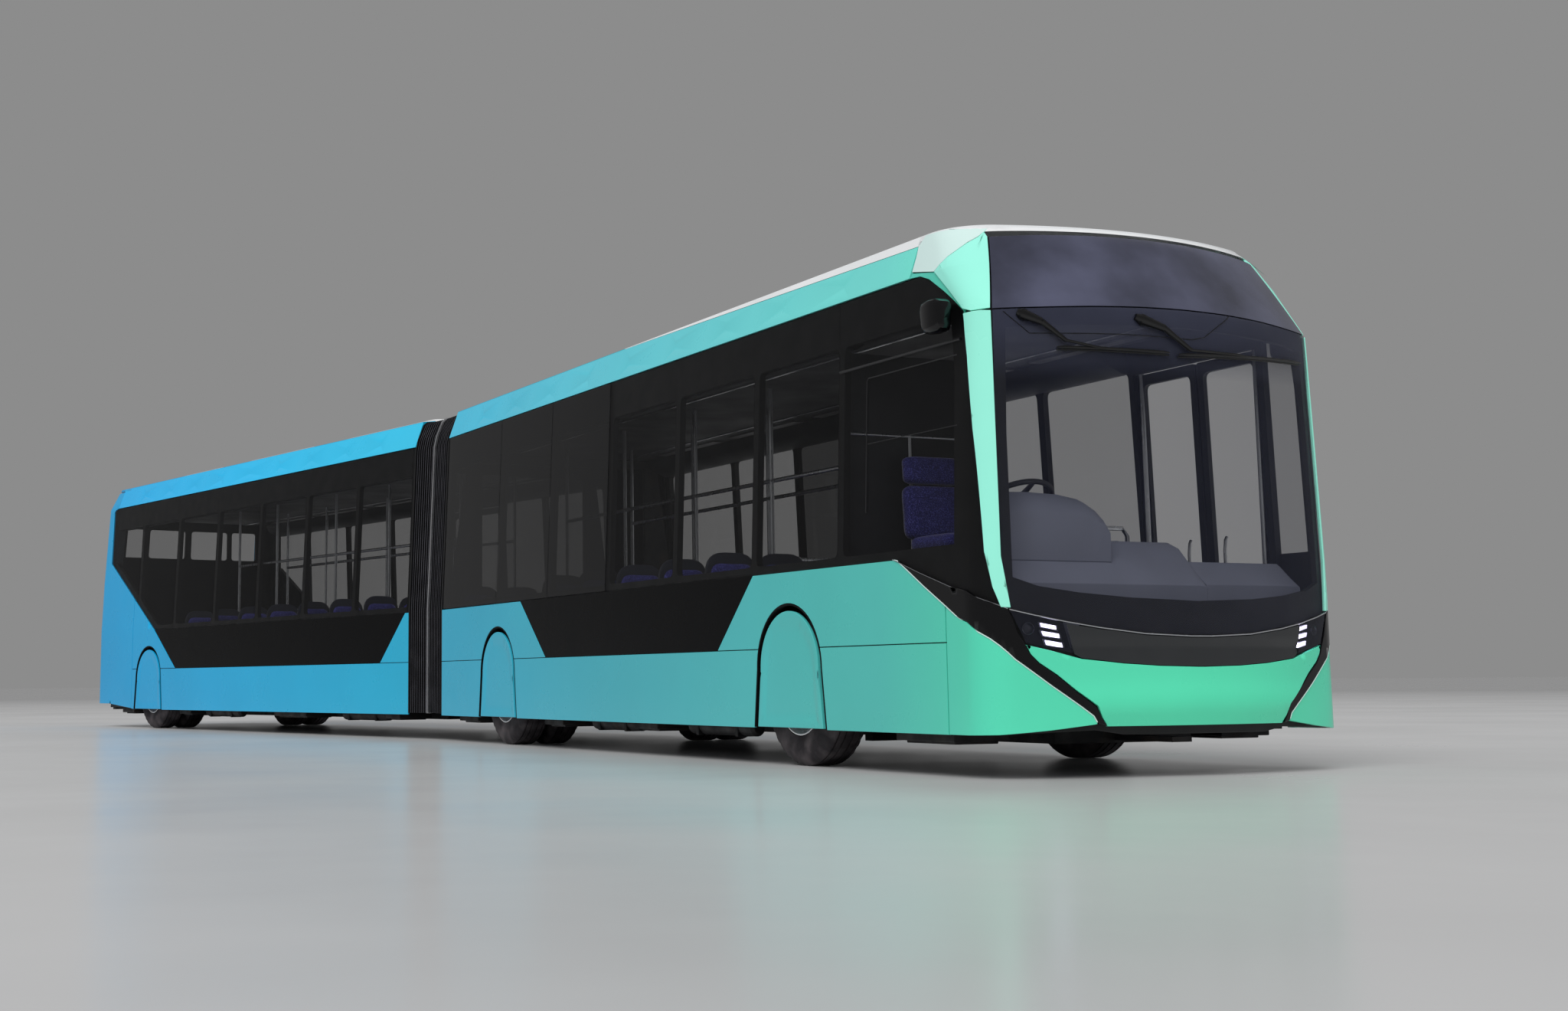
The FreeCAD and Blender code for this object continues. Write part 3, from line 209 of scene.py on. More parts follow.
def shrink(points, by):
    """Pull each corner of a closed outline inwards, for the gap round a panel."""
    area = sum(a[0] * b[1] - b[0] * a[1] for a, b in zip(points, points[1:] + points[:1]))
    turn = 1 if area > 0 else -1
    out = []
    for before, p, after in corners_of(points):
        d1, d2 = (p - before).normalized(), (after - p).normalized()
        n1, n2 = (Vector((-d.y, d.x)) * turn for d in (d1, d2))
        out.append(tuple(p + (n1 + n2) * by / max(0.35, 1 + n1.dot(n2))))
    return out


def rect(s0, s1, z0, z1, radius=0, steps=5):
    points = [(s0, z0), (s1, z0), (s1, z1), (s0, z1)]
    return rounded(points, radius, steps) if radius else points


ARCH_HEAD, ARCH_CENTRE, ARCH_SPREAD, LEG_SLOPE = 0.418, 0.62, 0.465, 0.1224


def arch(axle, grow=0, foot=SKIRT - 0.05, steps=28):
    """A wheel arch's outline: a round head on legs that spread to the skirt."""
    head = ARCH_HEAD + grow
    spread = ARCH_SPREAD + grow + (SKIRT - foot) * LEG_SLOPE
    angles = [math.pi * i / steps for i in range(steps + 1)]
    return ([(axle - spread, foot)] +
            [(axle - head * math.cos(t), ARCH_CENTRE + head * math.sin(t)) for t in angles] +
            [(axle + spread, foot)])


# ---- making pieces

class Shape:
    """Gathers closed shells, each with a material number, and makes one piece of them."""

    def __init__(self):
        self.verts, self.faces, self.paint = [], [], []

    def add(self, verts, faces, paint=0):
        base = len(self.verts)
        self.verts += [Vector(v) for v in verts]
        self.faces += [tuple(base + i for i in f) for f in faces]
        self.paint += [paint] * len(faces)

    def box(self, low, high, paint=0):
        xs, ys, zs = zip(low, high)
        self.add([(x, y, z) for x in xs for y in ys for z in zs],
                 [(0, 1, 3, 2), (4, 6, 7, 5), (0, 4, 5, 1), (2, 3, 7, 6), (0, 2, 6, 4), (1, 5, 7, 3)], paint)

    def rings(self, rings, paint=0, closed=False, profile=False):
        """A skin through rings of points, the last joined to the first where closed. The rings of a
        profile are open lines, and a cap closes each end of it."""
        n, count = len(rings[0]), len(rings)
        faces = []
        for i in range(count if closed else count - 1):
            j = (i + 1) % count
            faces += [(i * n + k, i * n + (k + 1) % n, j * n + (k + 1) % n, j * n + k)
                      for k in range(n - profile)]
        if profile:
            faces += [tuple(i * n for i in range(count)),
                      tuple(i * n + n - 1 for i in reversed(range(count)))]
        elif not closed:
            faces += [tuple(reversed(range(n))), tuple((count - 1) * n + k for k in range(n))]
        self.add([v for ring in rings for v in ring], faces, paint)

    def tube(self, points, radius, paint=0, sides=10):
        """A round rod along points, with a radius or one radius for each point."""
        points = [Vector(p) for p in points]
        radii = radius if isinstance(radius, list) else [radius] * len(points)
        rings, across = [], None
        for p, before, after, r in zip(points, points[:1] + points, points[1:] + points[-1:], radii):
            along = (after - before).normalized()
            if across is None:
                across = along.orthogonal().normalized()
            across = (across - along * across.dot(along)).normalized()
            other = along.cross(across)
            rings.append([p + (across * c + other * s) * r for c, s in circle(sides)])
        self.rings(rings, paint)

    def lathe(self, profile, axis, centre=(0, 0, 0), steps=64, paint=0, closed=False):
        """A profile of (along, radius) turned about an axis through the centre."""
        order = {"X": (0, 1, 2), "Y": (1, 0, 2), "Z": (1, 2, 0)}[axis]
        self.rings([[tuple(o + (a, r * c, r * s)[i] for o, i in zip(centre, order)) for a, r in profile]
                    for c, s in circle(steps)], paint, True, not closed)

    def patch(self, chart, outline, holes=(), thick=0.006, out=0, paint=0, grid=(0.3, 0.3), levels=(),
              lift=None):
        """A shell on a chart inside an outline. lift(s, z) gives more height above the surface."""
        loops = [list(outline)] + [list(h) for h in holes]

        def within(p):
            return inside(p, loops[0]) and not any(inside(p, hole) for hole in loops[1:])

        flat, edges, base = [tuple(p) for loop in loops for p in loop], [], 0
        for loop in loops:
            edges += [(base + i, base + (i + 1) % len(loop)) for i in range(len(loop))]
            base += len(loop)
        (s_low, s_high), (z_low, z_high) = ((min(v), max(v)) for v in zip(*outline))
        rows, columns = int((z_high - z_low) / grid[1]), int((s_high - s_low) / grid[0])
        heights = {z_low + (z_high - z_low) * (i + 1) / (rows + 1) for i in range(rows)}
        clear = 0.35 * min(grid)
        for h in sorted(heights | {h for h in levels if z_low < h < z_high}):
            for i in range(1, columns):
                p = (s_low + (s_high - s_low) * i / columns, h)
                if within(p) and all(abs(p[0] - q[0]) > clear or abs(p[1] - q[1]) > clear
                                     for q in flat[:base]):
                    flat.append(p)
        points, _, faces, *_ = delaunay_2d_cdt([Vector(p) for p in flat], edges, [], 0, 1e-5)
        faces = [f for f in faces if within(sum((points[i] for i in f), Vector((0, 0))) / len(f))]
        used = sorted({i for f in faces for i in f})
        number = {i: k for k, i in enumerate(used)}
        points, faces = [points[i] for i in used], [tuple(number[i] for i in f) for f in faces]
        n = len(points)
        rise = [out + (lift(*p) if lift else 0) for p in points]
        verts = [chart(*p, h - down) for down in (0, thick) for p, h in zip(points, rise)]
        rim = {(a, b): None for f in faces for a, b in zip(f, f[1:] + f[:1])}
        self.add(verts, faces + [tuple(n + i for i in reversed(f)) for f in faces] +
                 [(b, a, n + a, n + b) for a, b in rim if (b, a) not in rim], paint)

    def cushion(self, centre, size, crown, pinch, power=0.28, turn=Matrix.Identity(3), across=18, up=10):
        """A crowned closed pad whose sides pull in between its corners. Its z side is its thickness."""
        a, b, c = (s / 2 for s in size)

        def bend(v, power=power):
            return math.copysign(abs(v) ** power, v)

        rings = []
        for i in range(up + 1):
            lat = -math.pi / 2 + math.pi * (i + 0.35 * ((i == 0) - (i == up))) / up
            pz = bend(math.sin(lat), 0.6)
            rings.append([])
            for lon in (math.pi * k / across for k in range(across * 2)):
                px, py = bend(math.cos(lon)) * bend(math.cos(lat)), bend(math.sin(lon)) * bend(math.cos(lat))
                rise = 1 + crown * (1 - px * px) * (1 - py * py) if pz > 0 else 1
                p = Vector((a * px * (1 - pinch * (1 - py * py)), b * py * (1 - pinch * (1 - px * px)),
                            c * (pz * rise)))
                rings[-1].append(turn @ p + Vector(centre))
        self.rings(rings)

    def move(self, turn, at):
        for v in self.verts:
            v[:] = turn @ v + at

    def make(self, name, materials, slot, bevel, section="front", node=None, body=None, segments=2, limit=35,
             ride=True):
        """Turn the shells into a named piece on a body; it may stand for a node of the frame."""
        mesh = bpy.data.meshes.new(name)
        mesh.from_pydata(self.verts, [], self.faces)
        mesh.polygons.foreach_set("material_index", self.paint)
        for m in materials if isinstance(materials, list) else [materials]:
            mesh.materials.append(m)
        bm = bmesh.new()
        bm.from_mesh(mesh)
        bmesh.ops.recalc_face_normals(bm, faces=bm.faces)
        bm.to_mesh(mesh)
        bm.free()
        mesh.polygons.foreach_set("use_smooth", [True] * len(mesh.polygons))
        piece = bpy.data.objects.new(name, mesh)
        bpy.context.scene.collection.objects.link(piece)
        piece.matrix_world, rides_on = PLACE[section]
        if bevel:
            edge = piece.modifiers.new("edges", "BEVEL")
            edge.width, edge.segments, edge.limit_method = bevel, segments, "ANGLE"
            edge.angle_limit = math.radians(limit)
            edge.use_clamp_overlap, edge.harden_normals = False, True
        else:
            mesh.set_sharp_from_angle(angle=math.radians(limit))
        if ride:
            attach(piece, body or rides_on)
        if node:
            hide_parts(node)
        return piece


# ---- materials

def linear(r, g, b):
    """A colour given as 0 to 255."""
    def channel(v):
        v /= 255
        return v / 12.92 if v <= 0.04045 else ((v + 0.055) / 1.055) ** 2.4
    return channel(r), channel(g), channel(b), 1


def add_node(tree, kind, inputs=None, **settings):
    """A shader node with its settings, and its inputs linked or set."""
    node = tree.nodes.new(kind)
    for key, value in settings.items():
        setattr(node, key, value)
    for key, value in (inputs or {}).items():
        if isinstance(value, bpy.types.NodeSocket):
            tree.links.new(value, node.inputs[key])
        else:
            node.inputs[key].default_value = value
    return node


class Finish:
    """A material whose colour, roughness and relief come from noise in the object's own coordinates."""

    def __init__(self, name, rough, **sockets):
        self.material = bpy.data.materials.new(name)
        self.material.use_nodes = True
        self.tree = self.material.node_tree
        self.shader = self.tree.nodes["Principled BSDF"]
        for socket, value in {"Roughness": rough, "Metallic": 0, **sockets}.items():
            self.shader.inputs[socket.replace("_", " ")].default_value = value
        self.place = self.node("TexCoord").outputs["Object"]

    def node(self, kind, inputs=None, **settings):
        return add_node(self.tree, "ShaderNode" + kind, inputs, **settings)

    def noise(self, scale, detail=4, stretch=None):
        where = self.place
        if stretch:
            where = self.node("Mapping", {"Vector": where, "Scale": stretch}).outputs["Vector"]
        return self.node("TexNoise", {"Vector": where, "Scale": scale, "Detail": detail}).outputs["Fac"]

    def remap(self, value, low, high, start=0, end=1):
        return self.node("MapRange", {"Value": value, "From Min": start, "From Max": end,
                                      "To Min": low, "To Max": high}).outputs["Result"]

    def math(self, operation, a, b):
        return self.node("Math", {0: a, 1: b}, operation=operation).outputs[0]

    def ramp(self, value, stops):
        node = self.node("ValToRGB", {"Fac": value})
        while len(node.color_ramp.elements) < len(stops):
            node.color_ramp.elements.new(0.5)
        for element, (at, colour) in zip(node.color_ramp.elements, stops):
            element.position, element.color = at, linear(*colour)
        return node.outputs["Color"]

    def mix(self, factor, a, b, blend="MIX"):
        return self.node("Mix", {0: factor, 6: a, 7: b}, data_type="RGBA", blend_type=blend).outputs[2]

    def link(self, value, socket):
        self.tree.links.new(value, self.shader.inputs[socket])
        return self

    def vary(self, colour, scale=3, spread=0.08):
        """The colour, a little lighter and darker in patches."""
        grey = self.remap(self.noise(scale), 1 - spread, 1 + spread, 0.3, 0.7)
        shade = self.node("CombineColor", {0: grey, 1: grey, 2: grey}).outputs["Color"]
        return self.link(self.mix(1, colour, shade, "MULTIPLY"), "Base Color")

    def uneven(self, low, high, scale=6, stretch=None):
        return self.link(self.remap(self.noise(scale, 5, stretch), low, high, 0.3, 0.7), "Roughness")

    def relief(self, height, strength=0.1, distance=0.001):
        """A bump; the last step, so it gives the material."""
        bump = self.node("Bump", {"Height": height, "Strength": strength, "Distance": distance})
        return self.link(bump.outputs["Normal"], "Normal").material

    def axis(self, letter):
        return self.node("SeparateXYZ", {"Vector": self.place}).outputs[letter]


# The body's own gradient, mint through teal to blue. The first two stops, brighter over the nose's first half
# metre, also hold painted light: the nose face lit more than the side.
PAINT_STOPS = [(0, (88, 230, 184)), (0.028, (84, 210, 182)), (0.07, (80, 192, 182)), (0.22, (70, 182, 190)),
               (0.43, (44, 172, 202)), (0.56, (22, 174, 212)), (0.78, (8, 170, 220)), (1, (10, 158, 214))]


def paint_finish(name, white=0, fade=0, lift=1):
    """The body colour: mint at the nose, through teal, to blue at the tail. White makes it paler, less so
    to the tail by the fade; lift makes it brighter. The paler and brighter copies are painted light: the
    same paint as it looks on lit faces and in highlights."""
    f = Finish(name, 0.3, Specular_IOR_Level=0.35, Coat_Weight=0.25, Coat_Roughness=0.06)
    along = f.remap(f.axis("Y"), 0, 1, 0, LENGTH)
    stops = [(at, tuple(min(250, lift * (c + max(0, 236 - c) * white * (1 - fade * at))) for c in colour))
             for at, colour in PAINT_STOPS]
    f.vary(f.ramp(along, stops), 0.9, 0.035)
    f.uneven(0.24, 0.36, 2.5)
    return f.relief(f.noise(45, 2), 0.01, 0.0003)


def surface(name, colour, rough, shade, gloss, grain, second=None, mask=None, stretch=None, **sockets):
    """One colour, or two in patches or flecks, with light and dark places, uneven gloss and a grain."""
    f = Finish(name, rough, **sockets)
    colour = linear(*colour)
    if mask:
        colour = f.mix(f.remap(f.noise(*mask[:2]), 0, 1, *mask[2:]), colour, linear(*second))
    if shade:
        f.vary(colour, *shade)
    else:
        f.link(colour, "Base Color")
    f.uneven(*gloss, stretch)
    return f.relief(f.noise(*grain[:2], stretch), *grain[2:])


def plain(name, colour, rough=(0.4, 0.5), grain=300, relief=0.08, scale=3, spread=0.08, **sockets):
    return surface(name, colour, rough[0], (scale, spread), (*rough, scale * 2), (grain, 3, relief, 0.0008),
                   **sockets)


def rubber(name, colour, dust):
    return surface(name, colour, 0.7, None, (0.55, 0.85, 14), (240, 4, 0.3, 0.0012), dust, (7, 6, 0.42, 0.75),
                   Specular_IOR_Level=0.2)


def brushed(name, colour, rough, stretch, metallic=1):
    """Metal with fine lines drawn along one way."""
    return surface(name, colour, rough[0], (5, 0.06), (*rough, 40), (90, 4, 0.06, 0.0006), stretch=stretch,
                   Metallic=metallic)


def glass(name, colour, clear_facing, clear_edge, sky_reflection=None):
    """Tinted glass: less clear at a glance, with faint waves and, where asked, a top band that grows opaque, a
    painted reflection of the sky.
    """
    f = Finish(name, 0.03, Specular_IOR_Level=0.25)
    f.vary(linear(*colour), 1.4, 0.12)
    f.uneven(0.03, 0.06, 3)
    facing = f.node("LayerWeight", {"Blend": 0.45}).outputs["Facing"]
    tint = f.remap(facing, 1 - clear_facing, 1 - clear_edge, 0, 0.9)
    # painted reflection: towards the top the glass shows more of its own bluish grey, standing for the sky seen
    # in it
    if sky_reflection:
        tint = f.math("MAXIMUM", tint, f.remap(f.axis("Z"), 0, 0.5, *sky_reflection))
    f.link(tint, "Alpha")
    return f.relief(f.noise(2.2, 2), 0.05, 0.002)


def fabric(name, colour, thread):
    """Woven seat cloth with a fleck of a second colour."""
    f = Finish(name, 0.85, Sheen_Weight=0.35, Sheen_Roughness=0.4)
    wave = f.node("TexWave", {"Vector": f.place, "Scale": 70, "Distortion": 1, "Detail": 1},
                  wave_type="BANDS", bands_direction="DIAGONAL").outputs["Fac"]
    fleck = f.remap(f.noise(160, 2), 0, 1, 0.52, 0.62)
    f.vary(f.mix(fleck, linear(*colour), linear(*thread)), 8, 0.12)
    f.uneven(0.75, 0.95, 30)
    return f.relief(f.math("ADD", wave, f.noise(500, 2)), 0.35, 0.0012)


def glow(name, colour, strength):
    """A lit lamp of many small cells."""
    f = Finish(name, 0.2)
    f.vary(linear(210, 214, 228), 20, 0.05)
    f.shader.inputs["Emission Color"].default_value = linear(*colour)
    cells = f.remap(f.noise(60, 2), 0.8, 1)
    return f.link(f.math("MULTIPLY", cells, strength), "Emission Strength").material


PAINT = paint_finish("body_paint")
# Lit copy of the body paint for the cantrails, paler towards the nose and brighter: painted light on faces that
# turn up.
CANTRAIL_LIT_PAINT = paint_finish("cantrail_lit_paint", 0.14, 1, 1.1)
# Lit copy of the body paint for the A-pillars and shoulders, paler and brighter: painted light and highlight
# where those faces catch the lamp.
PALE_LIT_PAINT = paint_finish("pale_lit_paint", 0.37, 0, 1.1)
# Near-white copy of the body paint: a painted highlight along the blade edges, and on the shoulder ridges both
# the white roof edge carried forward and painted light on their facets.
RIDGE_AND_HIGHLIGHT_PAINT = paint_finish("ridge_and_highlight_paint", 0.8)
WHITE = plain("roof_paint", (233, 235, 236), (0.3, 0.45), scale=1.2, spread=0.03, Coat_Weight=0.4)
GLOSS = plain("black_gloss", (8, 8, 10), (0.08, 0.16), 2, 0.04, Specular_IOR_Level=0.35)
PANEL = plain("black_panel", (9, 9, 10), (0.24, 0.34), 1.5, 0.05, Specular_IOR_Level=0.05)
FRIT = plain("black_frame", (10, 10, 12), (0.5, 0.65), 260)
SEAL = rubber("seal_rubber", (7, 7, 8), (24, 24, 25))
TYRE = rubber("tyre_rubber", (42, 39, 42), (92, 86, 88))
TINT = glass("side_glass", (9, 9, 11), 0.9, 0.62)
DEEP = glass("deep_glass", (9, 9, 11), 0.45, 0.22)
DOOR_GLASS = glass("door_glass", (60, 62, 70), 0.97, 0.88)
# The windscreen's band from 2.15 to 2.5 m up is the painted sky reflection.
SCREEN = glass("windscreen_glass", (62, 65, 82), 0.93, 0.78, (2.15, 2.5))
# The destination glass: dark slate blue in large pale and dark patches, which paint the reflections seen in it.
HEADER_PAINTED_REFLECTION = plain("header_glass", (70, 72, 90), (0.05, 0.12), 1.2, 0.08, 1.6, 0.45, Specular_IOR_Level=0.4)
# The rims: chrome given a near-white diffuse part so they stay bright in the shade under the covers; that
# whiteness is a painted reflection of the lit floor.
CHROME_PAINTED_GLEAM = brushed("wheel_chrome", (242, 242, 244), (0.14, 0.3), (1, 1, 1), 0.35)
TRIM = brushed("thin_chrome", (190, 192, 196), (0.15, 0.3), (1, 12, 12))
RAIL = brushed("hand_rail", (196, 198, 202), (0.22, 0.4), (1, 1, 0.06))
STEEL = surface("frame_steel", (26, 26, 28), 0.55, None, (0.45, 0.75, 9), (110, 5, 0.35, 0.002), (58, 48, 40),
                (4, 6, 0.5, 0.8), Metallic=0.2)
CLOTH = fabric("seat_cloth", (38, 36, 96), (86, 88, 170))
SHELL = plain("seat_shell", (40, 42, 52), (0.45, 0.6), 240, 0.2)
PLASTIC = plain("cab_plastic", (34, 35, 38), (0.5, 0.7), 340, 0.35)
# The desk's grey-blue is lightened past its own tone so that, seen through the windscreen, it also stands for
# its reflection in the glass: partly painted reflection.
DESK = plain("desk_plastic", (98, 101, 115), (0.5, 0.7), 340, 0.35)
GRILLE = plain("grille_mesh", (40, 42, 44), (0.3, 0.45), 120, 0.1)
BAR = plain("window_bar", (24, 24, 26), (0.35, 0.5), 120, 0.1)
WIPER = plain("wiper_black", (5, 5, 6), (0.35, 0.5), 300, 0.2)
LINING = plain("lining", (96, 98, 102), (0.5, 0.7), 200, 0.15)
CEILING = plain("ceiling", (36, 37, 41), (0.5, 0.7), 160, 0.12, 1.2, 0.05)
VINYL = surface("floor_vinyl", (62, 66, 74), 0.5, (2, 0.08), (0.35, 0.6, 4), (350, 2, 0.12, 0.0008),
                (120, 124, 132), (220, 1, 0.6, 0.66))
BELLOWS = rubber("bellows_fabric", (5, 5, 6), (12, 12, 14))
# Light grey laid on the crest of every fold: a painted highlight where each pleat catches the light.
FOLD_HIGHLIGHT = rubber("bellows_fold_highlight", (74, 74, 80), (100, 100, 106))
HOOP = brushed("bellows_hoop", (226, 226, 230), (0.3, 0.5), (1, 12, 1))
CASE = brushed("battery_case", (140, 142, 146), (0.35, 0.55), (1, 12, 1))
LED = glow("led_bar", (226, 218, 255), 6)
STRIP = plain("cabin_light", (92, 92, 92), (0.3, 0.4), 120)
RED = plain("red_lens", (150, 14, 16), (0.08, 0.2), 90, 0.4, 14)
AMBER = plain("amber_lens", (214, 112, 14), (0.08, 0.2), 90, 0.4, 14)
CLEAR = glass("lamp_cover", (40, 42, 52), 0.72, 0.3)
REFLECTOR = brushed("lamp_reflector", (150, 152, 162), (0.1, 0.25), (1, 1, 1))

for finish, nodes in ((VINYL, ("front_floor", "rear_floor")),
                      (STEEL, ("front_underframe", "rear_underframe", "front_axle_beam", "knuckle_left",
                               "knuckle_right", "drive_axle_beam", "rear_axle_beam", "turntable_lower",
                               "turntable_upper")),
                      (RAIL, ("front_handrails", "rear_handrails")),
                      (CASE, ("front_batteries", "rear_batteries"))):
    for node in nodes:
        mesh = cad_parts[node].data
        mesh.materials.clear()
        mesh.materials.append(finish)

# ---- sides of the body

PANES = {"front": (1.786, 2.896, 4.098, 5.284, 6.47, 7.66, FRONT_END - 0.03),
         "rear": (REAR_START + 0.03, 11.35, 12.54, 13.73, 14.92, 16.11, 17.3)}
GAP, TAIL_RISE = 0.004, 0.568

# What the driver's side shows; the other side mirrors it, with doorways cut through.
PAINTED = {
    "front": [rect(0.636, FRONT_END, SKIRT, SEAM_LOW),
              [(0.636, SEAM_HIGH), (3.398, SEAM_HIGH), (2.876, PANEL_TOP), (1.153, PANEL_TOP), (1.11, 1.236),
               (1.016, 1.181), (0.833, 1.07), (0.636, 0.958)],
              [(6.507, SEAM_HIGH), (FRONT_END, SEAM_HIGH), (FRONT_END, PANEL_TOP), (7.073, PANEL_TOP)]],
    "rear": [[(REAR_START, SKIRT), (17.3, SKIRT), (17.418, 0.245), (17.418, SEAM_LOW),
              (REAR_START, SEAM_LOW)],
             [(REAR_START, SEAM_HIGH), (10.714, SEAM_HIGH), (10.2, PANEL_TOP), (REAR_START, PANEL_TOP)]]}
BLACK = {"front": [(3.402, SEAM_HIGH), (6.503, SEAM_HIGH), (7.069, PANEL_TOP), (2.88, PANEL_TOP)],
         "rear": [(10.718, SEAM_HIGH), (15.998, SEAM_HIGH), (16.69, PANEL_TOP), (10.204, PANEL_TOP)]}


def cut_span(span, cuts):
    """What is left of a span once the cuts are taken out."""
    pieces = [span]
    for a, b in cuts:
        pieces = [q for lo, hi in pieces for q in ((lo, min(hi, a)), (max(lo, b), hi)) if q[1] - q[0] > 0.03]
    return pieces


def doorways(section, side, grow=0, top=DOOR_TOP):
    return [rect(y - grow, y + DOOR_WIDE + grow, -0.1, top) for y in in_section(DOORS, section) if side > 0]


def arches(section, grow):
    return [arch(y, grow) for y in in_section(AXLES, section)]


def lower_edge(lo, hi, kink, low):
    """A pane's lower edge: level, then rising towards the tail from the kink."""
    return [(y, low + max(0, y - kink) * TAIL_RISE) for y in [lo] + [kink] * (lo < kink < hi) + [hi]]


def mint_top(y):
    """Where the painted band ends: below the white roof edge at the nose, at the roof behind."""
    return 3.116 + 0.06 * min(1, max(0, y - RAIL_START) / (WHITE_END - RAIL_START))


for section in PLACE:
    front = section == "front"
    for side, chart in SIDES.items():
        tag = f"{section}_{SIDE_NAME[side]}"
        cuts = doorways(section, side, GAP, DOOR_TOP + GAP) + arches(section, GAP)
        paint, black, panes, backing, trim, rail = (Shape() for _ in range(6))
        for outline in PAINTED[section]:
            paint.patch(chart, shrink(outline, 0.001), cuts, 0.018, grid=(0.6, 0.3))
        paint.make(tag + "_paint", PAINT, "body_paint", 0.002, section)
        black.patch(chart, BLACK[section], cuts, 0.016, grid=(0.6, 0.3))
        black.make(tag + "_black_panel", PANEL, "black_gloss", 0.002, section)

        doors = doorways(section, side, 0.012, 2.62)
        edges = PANES[section] + (() if front else (18.33,))
        for lo, hi in ((a + 0.003, b - 0.003) for a, b in zip(edges, edges[1:])):
            upper = [(hi, PANE_HIGH)] if hi < 18 else [(18.335, 2.86), (18.3, 2.89), (18.2, PANE_HIGH)]
            deep = front and 5.2 < lo < (9 if side < 0 else 6)
            panes.patch(chart, lower_edge(lo, hi, 16.71, PANE_LOW) + upper + [(lo, PANE_HIGH)], doors,
                        paint=int(deep), grid=(0.4, 0.4))
        if side > 0 and front:
            panes.patch(chart, rect(1.862, 1.783, PANE_LOW, PANE_HIGH), doors)
            panes.patch(chart, rect(0.7, 1.783, 2.616, PANE_HIGH))
        panes.make(tag + "_glass", [TINT, DEEP], "glass", 0.001, section,
                   f"{section}_glass" if side < 0 else None, segments=1)

        holes = arches(section, 0.012) + doorways(section, side)
        edges = ((0.5,) if front and side < 0 else ()) + PANES[section] + (() if front else (18.3,))
        doors = [(y - 0.06, y + DOOR_WIDE + 0.06) for y in in_section(DOORS, section) if side > 0]
        for a, b in zip(edges, edges[1:]):
            holes += [rounded(lower_edge(lo, hi, 16.65, 1.3) + [(hi, 2.62), (lo, 2.62)], 0.05)
                      for lo, hi in cut_span((a + 0.035, b - 0.035), doors) if hi - lo >= 0.2]
        start, end = (0.64, FRONT_END) if front else (REAR_START, 18.19)
        backing.patch(chart, rect(start, end, SKIRT + 0.02, PANE_HIGH), holes, 0.046, -0.02, grid=(0.7, 0.4))
        backing.make(tag + "_frame", FRIT, "black_gloss", 0, section, tag + "_wall")

        for y in in_section(AXLES, section):
            trim.patch(chart, arch(y, 0.003, SKIRT + 0.006), [arch(y, -0.011)], 0.03, grid=(0.5, 0.5))
        trim.make(tag + "_arch_edging", SEAL, "black_gloss", 0.003, section)

        start, end = (RAIL_START, FRONT_END) if front else (REAR_START, REAR_CORNER)
        steps = sorted([y for y, in run((start,), (end,), 12)] + [WHITE_END] * front)
        outline = [(y, 2.913) for y in steps] + [(y, mint_top(y) - 0.003) for y in reversed(steps)]
        rail.patch(chart, outline, (), 0.02, grid=(0.8, 0.06), levels=(2.93, 2.95, 3, 3.018, 3.036, 3.09),
                   lift=lambda s, z: -0.014 * math.exp(-((z - 3.018) / 0.03) ** 2))
        # The cantrail wears the lit copy of the paint: painted light on its upturned band.
        rail.make(tag + "_cantrail", CANTRAIL_LIT_PAINT, "body_paint", 0.002, section)

# ---- roof

def cap(x, y, out=0):
    """The crowned roof: level with the eaves at its edges, higher along the middle."""
    setback, bow, _ = between(NOSE, EAVES)
    reach = y - (setback + bow - math.sqrt(bow ** 2 - min(1.3, abs(x)) ** 2))
    setback, bow, _ = between(TAIL, EAVES)
    reach = min(reach, LENGTH - y - (setback + bow - math.sqrt(bow ** 2 - x * x)))
    fall = max(0, 1 - max(0, reach) / 1.4) ** 2
    return Vector((x, y, EAVES + 0.084 * (1 - min(1, abs(x) / half(EAVES)) ** 2) * (1 - fall) + out))


